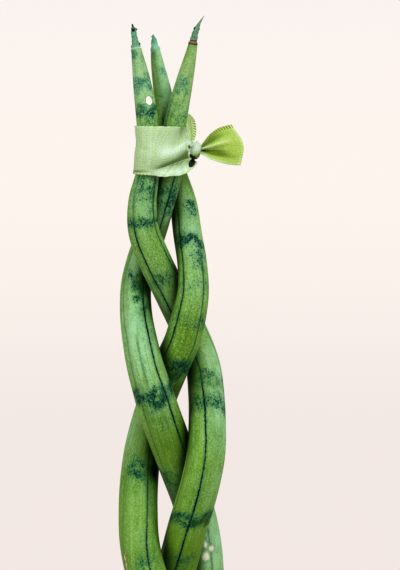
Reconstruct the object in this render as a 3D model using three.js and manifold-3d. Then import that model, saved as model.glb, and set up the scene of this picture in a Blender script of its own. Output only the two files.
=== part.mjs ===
// A cylindrical snake plant: three round leaves plaited flat, tied with a ribbon, in a plain pot.
// Millimetres, +Z up, -Y is the front. The origin is the middle of the pot's foot.

import * as THREE from 'three';
import { mergeVertices } from 'three/addons/utils/BufferGeometryUtils.js';
import Module from 'manifold-3d';

const wasm = await Module();
wasm.setup();

// ---- driving dimensions ----

const GAP = 0.35;               // air between pieces that rest against each other

const POT = {
  height: 104,
  footRadius: 41,
  mouthRadius: 57,              // under the rim band
  rimRadius: 60,
  rimHeight: 22,
  wall: 5,
  floor: 7,
  drainRadius: 6,
  neckRadius: 56,               // of the wall where the rim band sits on it
  edge: 1.5,                    // chamfer of the rim and the foot
  sides: 48,
};

const SOIL = {
  level: 94,                    // mean height of the surface
  relief: 1.1,                  // height of its waves above and below that
  waveSum: 1.6,                 // what the three waves together seldom pass
  sides: 32,
  rings: 8,
};

const LEAF = {
  ringStep: 8,                  // height between two rings of the body
  tipStep: 4,                   // and of the pointed end
  tipLength: 34,
  furrowDepth: 0.045,           // as a share of the leaf's radius
  furrowHalfWidth: 9,           // degrees round the leaf
  plainStep: 30,                // about the angle between two points where there is no furrow
};

// Each leaf's route: height, then how far its centre lies to the right and to the front.
// girth: height and radius. furrows: degrees round the leaf from its front line towards the right.
// turn: height and how far the leaf has twisted about its own length, in degrees.
const LEAVES = {
  leaf_left: {
    route: [
      [50, -18, -7], [120, -17, -10], [155, -13, -10], [180, -6.5, -8], [200, -0.5, -4],
      [218, 4.5, 1.5], [234, 8.5, 8], [248, 12.5, 13], [262, 16, 15.5], [276, 18.5, 14.5],
      [290, 19, 8], [305, 18.5, -4], [320, 16.5, -12.5], [334, 11.5, -14.5], [348, 5, -10.5],
      [362, -1.5, -3.5], [378, -9, 5], [395, -15, 10], [410, -15.5, 11], [424, -13, 10.5],
      [438, -11.8, 9.5], [450, -12.5, 8], [475, -16, 5], [492, -19, 3], [498, -20, 2.5],
      [502.5, -20.6, 2.1], [504.8, -21.1, 1.8],
    ],
    girth: [
      [50, 11.3], [80, 11.7], [230, 10.9], [275, 10.6], [320, 9.8], [362, 9.1], [395, 8.4],
      [410, 7.6], [428, 6.1], [455, 5.9], [465, 5.5], [475, 4.7], [490, 2.9], [498, 1.8],
      [502.5, 1.3], [504.8, 0.5],
    ],
    furrows: [-38, 54, 108, 180, 250],
    turn: [[50, 30], [200, 30], [250, 37], [315, 25], [355, 12], [400, 2], [437, -10], [505, -12]],
    colour: 0x6f9c4b,
  },
  leaf_right: {
    route: [
      [50, 17, -7], [120, 17, -8.5], [170, 17.5, -16], [195, 17.5, -18.5], [220, 16, -18],
      [242, 11.5, -13], [262, 5, -5.5], [280, -1, 3], [295, -6, 10.5], [310, -10.5, 15],
      [322, -14, 14.5], [335, -17, 8.5], [350, -19.5, -2], [365, -19.5, -10], [378, -16.5, -12],
      [392, -11.5, -8.5], [408, -6.5, -2], [425, -1.5, 2.5], [450, 1.5, 4], [475, 7, 2.5],
      [490, 10.5, 1.5], [500, 12.6, 1], [502.8, 13.5, 0.8], [506, 15.2, 0.6], [509.3, 17.4, 0.5],
    ],
    girth: [
      [50, 11.3], [80, 11.7], [250, 10.9], [300, 10.8], [322, 9.9], [350, 8.7], [410, 7.6],
      [430, 6.9], [460, 5.6], [480, 4], [494, 2.4], [502.5, 1.7], [506, 0.8], [509.3, 0.4],
    ],
    furrows: [-57, 29, 118, 205],
    turn: [
      [50, 0], [262, 3], [285, 8], [305, 12], [320, 9], [335, 9], [352, 5], [380, 2], [508, 0],
    ],
    colour: 0x729a4a,
  },
  leaf_middle: {
    route: [
      [50, 0, 12.5], [120, 0, 13.5], [155, -0.5, 18], [178, -2, 20], [195, -6, 19.5],
      [210, -12.5, 16.5], [226, -17.5, 9], [242, -18.5, 0], [258, -18, -8.5], [274, -16, -14],
      [290, -12, -14], [305, -7, -9], [320, -1, -1.5], [335, 5.5, 6], [348, 9, 9.5],
      [362, 11.5, 10.5], [376, 11, 6], [392, 8.5, -4], [408, 6, -12.5], [424, 1, -14],
      [440, -2, -13], [465, -4.5, -10], [485, -8, -6.5], [499.5, -10, -4],
    ],
    girth: [
      [50, 11.3], [80, 11.7], [250, 10.5], [275, 10.2], [330, 9.8], [348, 9.3], [362, 8.4],
      [395, 7.7], [420, 7.2], [438, 6.1], [450, 5.6], [465, 5.2], [480, 3.9], [490, 2.7],
      [496, 1.75], [499.5, 1],
    ],
    furrows: [-40, 45, 130, 222],
    turn: [
      [50, -30], [200, -30], [214, -25], [234, -14], [250, -14], [268, -20], [330, 0], [375, 0], [400, 9],
      [500, 12],
    ],
    colour: 0x78a552,
  },
};

const RIBBON = {
  thickness: 0.8,
  looseness: 0.6,               // between the leaves and the first turn
  directions: 40,
  // each edge's height, and how far it is drawn up or down and outwards at the knot
  edges: {
    innerFoot: { height: 424, pull: 5.5, flare: 5.5 },
    outerFoot: { height: 426.4, pull: 6.5, flare: 3.2 },
    waist: { height: 438, pull: 1.5, flare: 2.4 },
    top: { height: 450.4, pull: -0.6, flare: 0 },
  },
  gather: { direction: -14, halfWidth: 62 },  // degrees from the right towards the back
  knot: { at: [12.6, -5.2, 437.3], radii: [3, 3.6, 4.4], pleats: 4, pleatDepth: 0.1 },
};

// A tail is a fan that opens from the knot: rise is how far its middle points above its own
// level line, in degrees, and ripples is how many waves lie across it.
const TAILS = {
  right: {
    root: [13.4, -5.3, 438.2],
    heading: [1, -0.02, 0],
    reach: 25.5,
    rise: 9.5,
    spread: [46, 29],           // half angle near the knot and at the cut end
    ripple: 1.5,
    ripples: 1.7,
  },
  back: {
    root: [12.2, -3.8, 438.6],
    heading: [-0.3, 0.95, 0],
    reach: 20,
    rise: 60,
    spread: [42, 33],
    ripple: 1.1,
    ripples: 1.3,
  },
};

const FAN = {
  start: 0.06,                  // share of the reach that is hidden in the knot
  rounding: 0.1,                // how much shorter the corners are than the middle
  phase: 0.6,                   // where across the fan the first wave starts
  waveStart: 0.12,              // the waves grow from here along the fan
  waveEnd: 0.82,                // and fade towards here; both are shares of half a wave
};

const COLOURS = { ribbon: 0xc6e3b6, pot: 0xb8694a, soil: 0x33261c };

// ---- curves ----

const { degToRad: radians, lerp, clamp } = THREE.MathUtils;

// A smooth curve through the rows of a table, read at one height: each piece is a cubic
// whose slope at a row is the mean of its neighbours' slopes, weighted by the far gap.
function readTable(table, height) {
  const last = table.length - 1;
  const slope = (row, column) => (table[row + 1][column] - table[row][column])
    / (table[row + 1][0] - table[row][0]);
  const slopeAt = (row, column) => {
    if (row === 0) return slope(0, column);
    if (row === last) return slope(last - 1, column);
    const below = table[row][0] - table[row - 1][0];
    const above = table[row + 1][0] - table[row][0];
    return (slope(row - 1, column) * above + slope(row, column) * below) / (below + above);
  };
  let row = table.findIndex((entry) => entry[0] >= height) - 1;
  if (row === -2) row = last - 1;
  row = Math.max(row, 0);
  const length = table[row + 1][0] - table[row][0];
  const s = clamp((height - table[row][0]) / length, 0, 1);
  return table[row].slice(1).map((value, index) => {
    const column = index + 1;
    return (2 * s ** 3 - 3 * s ** 2 + 1) * value
      + (s ** 3 - 2 * s ** 2 + s) * length * slopeAt(row, column)
      + (3 * s ** 2 - 2 * s ** 3) * table[row + 1][column]
      + (s ** 3 - s ** 2) * length * slopeAt(row + 1, column);
  });
}

function leafCentre(leaf, height) {
  const [right, front] = readTable(leaf.route, height);
  return new THREE.Vector3(right, -front, height);
}

// ---- closed meshes from rings and grids ----

function geometryOf(points, triangles) {
  const geometry = new THREE.BufferGeometry();
  geometry.setAttribute('position', new THREE.Float32BufferAttribute(points.flat(), 3));
  geometry.setIndex(triangles.flat());
  return geometry;
}

// Rings of equal length, one above the other, with a flat fan over each end.
function loft(rings) {
  const sides = rings[0].length;
  const points = rings.flat();
  const triangles = [];
  for (let ring = 0; ring < rings.length - 1; ring += 1) {
    for (let side = 0; side < sides; side += 1) {
      const a = ring * sides + side;
      const b = ring * sides + (side + 1) % sides;
      triangles.push([a, b, b + sides], [a, b + sides, a + sides]);
    }
  }
  const middle = (ring) => [0, 1, 2].map((axis) => ring.reduce((sum, p) => sum + p[axis], 0) / sides);
  const top = (rings.length - 1) * sides;
  points.push(middle(rings[0]), middle(rings.at(-1)));
  for (let side = 0; side < sides; side += 1) {
    const next = (side + 1) % sides;
    triangles.push([points.length - 2, next, side], [points.length - 1, top + side, top + next]);
  }
  return geometryOf(points, triangles);
}

// Two loops of a wall, outer and inner, in rows of height: a closed band.
function band(outerRows, innerRows) {
  const sides = outerRows[0].length;
  const loop = [...outerRows, ...[...innerRows].reverse()];
  const points = loop.flat();
  const triangles = [];
  for (let row = 0; row < loop.length; row += 1) {
    for (let side = 0; side < sides; side += 1) {
      const next = (side + 1) % sides;
      const above = (row + 1) % loop.length;
      const [a, b] = [row * sides + side, row * sides + next];
      const [c, d] = [above * sides + next, above * sides + side];
      triangles.push([a, b, c], [a, c, d]);
    }
  }
  return geometryOf(points, triangles);
}

// A sheet given by a function of two shares from 0 to 1, with a thickness along its own normal.
function thickSheet(surface, across, along, thickness) {
  const small = 0.001;
  const side = (sign) => {
    const rows = [];
    for (let i = 0; i <= along; i += 1) {
      for (let j = 0; j <= across; j += 1) {
        const [u, v] = [i / along, j / across];
        const point = surface(u, v);
        const du = surface(u + small, v).sub(surface(u - small, v));
        const dv = surface(u, v + small).sub(surface(u, v - small));
        rows.push(point.addScaledVector(du.cross(dv).normalize(), sign * thickness / 2).toArray());
      }
    }
    return rows;
  };
  const points = [...side(1), ...side(-1)];
  const stride = across + 1;
  const under = stride * (along + 1);
  const triangles = [];
  const quad = (a, b, c, d) => triangles.push([a, b, c], [a, c, d]);
  for (let i = 0; i < along; i += 1) {
    for (let j = 0; j < across; j += 1) {
      const a = i * stride + j;
      quad(a, a + stride, a + stride + 1, a + 1);
      quad(under + a, under + a + 1, under + a + stride + 1, under + a + stride);
    }
    const [low, high] = [i * stride, i * stride + across];
    quad(low, under + low, under + low + stride, low + stride);
    quad(high, high + stride, under + high + stride, under + high);
  }
  for (let j = 0; j < across; j += 1) {
    const end = along * stride + j;
    quad(j, j + 1, under + j + 1, under + j);
    quad(end, under + end, under + end + 1, end + 1);
  }
  return geometryOf(points, triangles);
}

// ---- solids ----

function solidOf(geometry) {
  const bare = geometry.index ? geometry : geometry.clone();
  bare.deleteAttribute('normal');
  bare.deleteAttribute('uv');
  const merged = mergeVertices(bare, 1e-4);
  return new wasm.Manifold(new wasm.Mesh({
    numProp: 3,
    vertProperties: new Float32Array(merged.attributes.position.array),
    triVerts: new Uint32Array(merged.index.array),
  }));
}

// The largest body alone: small hollows that a join has sealed are filled.
function outerBody(solid) {
  return solid.decompose().reduce((largest, body) => (body.volume() > largest.volume() ? body : largest));
}

function geometryFrom(solid) {
  const mesh = solid.getMesh();
  const geometry = new THREE.BufferGeometry();
  geometry.setAttribute('position', new THREE.BufferAttribute(mesh.vertProperties, 3));
  geometry.setIndex(new THREE.BufferAttribute(mesh.triVerts, 1));
  return geometry;
}

// ---- leaves ----

function leafHeights(leaf) {
  const [foot, tip] = [leaf.route[0][0], leaf.route.at(-1)[0]];
  const shoulder = tip - LEAF.tipLength;
  const heights = [];
  const bodyRings = Math.round((shoulder - foot) / LEAF.ringStep);
  const tipRings = Math.round(LEAF.tipLength / LEAF.tipStep);
  for (let ring = 0; ring < bodyRings; ring += 1) heights.push(foot + (shoulder - foot) * ring / bodyRings);
  for (let ring = 0; ring <= tipRings; ring += 1) heights.push(shoulder + LEAF.tipLength * ring / tipRings);
  return heights;
}

// Directions round the leaf: each furrow's bottom and its two lips, and even steps between furrows.
function leafDirections(leaf) {
  const lip = LEAF.furrowHalfWidth;
  const directions = [];
  leaf.furrows.forEach((furrow, index) => {
    const next = leaf.furrows[index + 1] ?? leaf.furrows[0] + 360;
    directions.push([furrow - lip, 0], [furrow, 1], [furrow + lip, 0]);
    const open = next - furrow - 2 * lip;
    const steps = Math.round(open / LEAF.plainStep);
    for (let step = 1; step < steps; step += 1) directions.push([furrow + lip + open * step / steps, 0]);
  });
  return directions;
}

function leafGeometry(leaf, swell = 0) {
  const front = new THREE.Vector3(0, -1, 0);
  const rings = leafHeights(leaf).map((height) => {
    const centre = leafCentre(leaf, height);
    const tangent = leafCentre(leaf, height + 0.5).sub(leafCentre(leaf, height - 0.5)).normalize();
    const facing = front.clone().addScaledVector(tangent, -front.dot(tangent)).normalize();
    const sideways = tangent.clone().cross(facing);
    const [radius] = readTable(leaf.girth, height);
    const [turn] = readTable(leaf.turn, height);
    return leafDirections(leaf).map(([degrees, furrow]) => {
      const angle = radians(degrees + turn);
      const reach = radius * (1 - LEAF.furrowDepth * furrow) + swell;
      return centre.clone()
        .addScaledVector(facing, reach * Math.cos(angle))
        .addScaledVector(sideways, reach * Math.sin(angle))
        .toArray();
    });
  });
  if (swell > 0) rings.unshift(rings[0].map(([x, y, z]) => [x, y, z - swell]));
  return loft(rings);
}

// ---- pot and soil ----

function potGeometry() {
  const p = POT;
  const innerRadius = (height) => p.footRadius - p.wall
    + (p.mouthRadius - p.footRadius) * height / p.height;
  const profile = [
    [p.drainRadius, 0],
    [p.footRadius - p.edge, 0],
    [p.footRadius, p.edge],
    [p.neckRadius, p.height - p.rimHeight],
    [p.rimRadius - p.edge, p.height - p.rimHeight],
    [p.rimRadius, p.height - p.rimHeight + p.edge],
    [p.rimRadius, p.height - p.edge],
    [p.rimRadius - p.edge, p.height],
    [innerRadius(p.height) + p.edge, p.height],
    [innerRadius(p.height), p.height - p.edge],
    [innerRadius(p.floor), p.floor],
    [p.drainRadius, p.floor],
    [p.drainRadius, 0],
  ].map(([radius, height]) => new THREE.Vector2(radius, height));
  return new THREE.LatheGeometry(profile, p.sides).rotateX(Math.PI / 2);
}

// The soil's surface: three crossing waves.
function soilHeight(x, y) {
  const wave = Math.sin(0.31 * x + 0.9) * Math.cos(0.27 * y) + 0.6 * Math.sin(0.19 * (x - y) + 2.1)
    + 0.5 * Math.cos(0.41 * x + 0.36 * y);
  return SOIL.level + SOIL.relief * wave / SOIL.waveSum;
}

function soilSolid() {
  const foot = POT.floor + GAP;
  const wallRadius = (height) => POT.footRadius - POT.wall - GAP
    + (POT.mouthRadius - POT.footRadius) * height / POT.height;
  const ringAt = (radius, heightOf) => Array.from({ length: SOIL.sides }, (_, side) => {
    const angle = 2 * Math.PI * side / SOIL.sides;
    const [x, y] = [radius * Math.cos(angle), radius * Math.sin(angle)];
    return [x, y, heightOf(x, y)];
  });
  const edge = wallRadius(SOIL.level - SOIL.relief * 2);
  const rings = [ringAt(wallRadius(foot), () => foot)];
  for (let ring = SOIL.rings; ring > 0; ring -= 1) rings.push(ringAt(edge * ring / SOIL.rings, soilHeight));
  let soil = solidOf(loft(rings));
  for (const leaf of Object.values(LEAVES)) soil = soil.subtract(solidOf(leafGeometry(leaf, GAP)));
  return soil;
}

// ---- ribbon ----

// The outline of a string drawn tight round the three leaves at one height, in one direction:
// the point of the leaf that reaches furthest that way.
function tiedPoint(direction, height, offset) {
  const [nx, ny] = [Math.cos(direction), Math.sin(direction)];
  let best = { reach: -Infinity };
  for (const leaf of Object.values(LEAVES)) {
    const centre = leafCentre(leaf, height);
    const [radius] = readTable(leaf.girth, height);
    const reach = centre.x * nx + centre.y * ny + radius;
    if (reach > best.reach) best = { reach, centre, radius };
  }
  const radius = best.radius + offset;
  return [best.centre.x + radius * nx, best.centre.y + radius * ny, height];
}

// The ribbon's two turns as one band: the first turn shows as a step below the second, and
// towards the knot the edges draw together and stand out from the leaves.
function turnsOfRibbon() {
  const { gather, directions, thickness, looseness, edges } = RIBBON;
  const row = (edge, offset) => Array.from({ length: directions }, (_, index) => {
    const degrees = 360 * index / directions;
    const away = Math.abs(((degrees - gather.direction + 540) % 360) - 180) / gather.halfWidth;
    const pull = away < 1 ? (1 + Math.cos(Math.PI * away)) / 2 : 0;
    const reach = looseness + offset + edge.flare * pull;
    return tiedPoint(radians(degrees), edge.height + edge.pull * pull, reach);
  });
  const { innerFoot, outerFoot, waist, top } = edges;
  return band(
    [row(innerFoot, thickness), row(outerFoot, thickness), row(outerFoot, 2 * thickness),
      row(waist, 2 * thickness), row(top, 2 * thickness)],
    [row(innerFoot, 0), row(outerFoot, 0), row(waist, 0), row(top, 0)],
  );
}

// A fan: shares run from the knot to the cut end and from the lower edge to the upper.
// Its angle narrows as it opens, and pleats from the knot make it ripple across.
function tailSurface(tail) {
  const root = new THREE.Vector3(...tail.root);
  const heading = new THREE.Vector3(...tail.heading).normalize();
  const up = new THREE.Vector3(0, 0, 1);
  const outward = heading.clone().cross(up);
  return (along, across) => {
    const side = 2 * across - 1;
    const half = lerp(tail.spread[0], tail.spread[1], along);
    const angle = radians(tail.rise + half * side);
    const reach = tail.reach * lerp(FAN.start, 1, along) * (1 - FAN.rounding * side ** 2 * along);
    const ripple = tail.ripple * Math.sin(Math.PI * tail.ripples * side + FAN.phase)
      * Math.sin(Math.PI * lerp(FAN.waveStart, FAN.waveEnd, along));
    return root.clone()
      .addScaledVector(heading, reach * Math.cos(angle))
      .addScaledVector(up, reach * Math.sin(angle))
      .addScaledVector(outward, ripple);
  };
}

function knotGeometry() {
  const { at, radii, pleats, pleatDepth } = RIBBON.knot;
  const geometry = new THREE.SphereGeometry(1, 14, 9);
  geometry.deleteAttribute('normal');
  geometry.deleteAttribute('uv');
  const merged = mergeVertices(geometry, 1e-4);
  const position = merged.attributes.position;
  const point = new THREE.Vector3();
  for (let index = 0; index < position.count; index += 1) {
    point.fromBufferAttribute(position, index);
    const round = Math.atan2(point.x, point.y);
    point.multiplyScalar(1 + pleatDepth * Math.cos(pleats * round + 3 * point.z) * (1 - point.z ** 2));
    const placed = at.map((middle, axis) => middle + radii[axis] * point.getComponent(axis));
    position.setXYZ(index, ...placed);
  }
  return merged;
}

function ribbonSolid() {
  const r = RIBBON;
  const pieces = [
    turnsOfRibbon(),
    knotGeometry(),
    ...Object.values(TAILS).map((tail) => thickSheet(tailSurface(tail), 9, 6, r.thickness)),
  ];
  return outerBody(pieces.map(solidOf).reduce((whole, piece) => whole.add(piece)));
}

// ---- the plant ----

function mesh(name, geometry, colour, roughness) {
  const material = new THREE.MeshStandardMaterial({ color: colour, roughness, metalness: 0 });
  const piece = new THREE.Mesh(geometry, material);
  piece.name = name;
  return piece;
}

const plant = new THREE.Group();
for (const [name, leaf] of Object.entries(LEAVES)) {
  plant.add(mesh(name, leafGeometry(leaf), leaf.colour, 0.45));
}
plant.add(mesh('ribbon', geometryFrom(ribbonSolid()), COLOURS.ribbon, 0.6));
plant.add(mesh('soil', geometryFrom(soilSolid()), COLOURS.soil, 0.95));
plant.add(mesh('pot', geometryFrom(solidOf(potGeometry())), COLOURS.pot, 0.85));

export default plant;
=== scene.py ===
"""Looks for a braided cylindrical snake plant in its pot. Metres, +Z up, -Y is the front.

Three leaves are plaited into one braid, a ribbon ties them near the top, and they stand in soil in a clay
pot. The tables are in millimetres from the middle of the pot's foot, and MM turns them into metres.
"""
import math

import bmesh
import bpy
import numpy as np
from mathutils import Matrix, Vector


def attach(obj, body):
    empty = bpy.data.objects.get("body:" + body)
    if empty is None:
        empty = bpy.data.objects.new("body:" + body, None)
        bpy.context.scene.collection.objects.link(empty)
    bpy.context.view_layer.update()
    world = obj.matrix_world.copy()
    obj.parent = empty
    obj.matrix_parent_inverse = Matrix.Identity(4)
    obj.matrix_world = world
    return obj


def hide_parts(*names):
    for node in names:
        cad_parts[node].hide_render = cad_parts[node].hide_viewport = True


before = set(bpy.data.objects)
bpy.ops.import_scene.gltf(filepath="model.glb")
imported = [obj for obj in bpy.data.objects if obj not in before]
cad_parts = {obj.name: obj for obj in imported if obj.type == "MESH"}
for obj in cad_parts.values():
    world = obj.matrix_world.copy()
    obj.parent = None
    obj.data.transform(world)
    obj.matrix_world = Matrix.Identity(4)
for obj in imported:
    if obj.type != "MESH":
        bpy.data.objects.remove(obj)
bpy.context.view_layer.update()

MM = 0.001

# ---- the leaves ----

# Angles round a leaf are degrees in its own frame: 0 is its front line, and they grow towards the right.
# route: height, then how far the leaf's centre lies to the right and to the front.
# girth: height and radius. turn: height and how far the leaf has twisted, in degrees.
# furrows: angle, how brown its line is, and then height and how dark the line is there.
# bands, bloom, ripe and painted_shade: height, half height, strength and, where it doesn't go level all
#     round, its angle, half width in degrees and lean in millimetres of height a degree. Bands are dark and
#     marbled, bloom is pale mint and in part a painted highlight, ripe is yellow-green and painted_shade is
#     the painted near black shade of a fold.
# scars: height, angle, half height and half width in millimetres.
# tip: the height where the green skin ends and the dry point starts.
# lumps: swellings of the dry point: height, angle, reach, half height, half width in degrees, how black.
# dry_hue, point_hue, blackened: the dry skin, its last millimetres, and how dark its hollows are.
# ring, ring_hue, ring_browned: the line under the dry point: half width, colour and how brown its rim is.
# end_hue: the green of the leaf's end. hue: how much pale green the rest has. speckled: how freckled it is.
# scar_hue, scar_edge_hue: a scab's raised and its low places. scar_crumbled, scar_soft, scar_rim: how ragged
#     its outline is, how slowly it fades in, and how dark the skin round it is.
# seed: starts the leaf's own waves.
ALL_ROUND = 400                            # a half width that goes all round
LEFT_OUT = (0, ALL_ROUND, 0)               # the angle, half width and lean of a row without them
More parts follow.
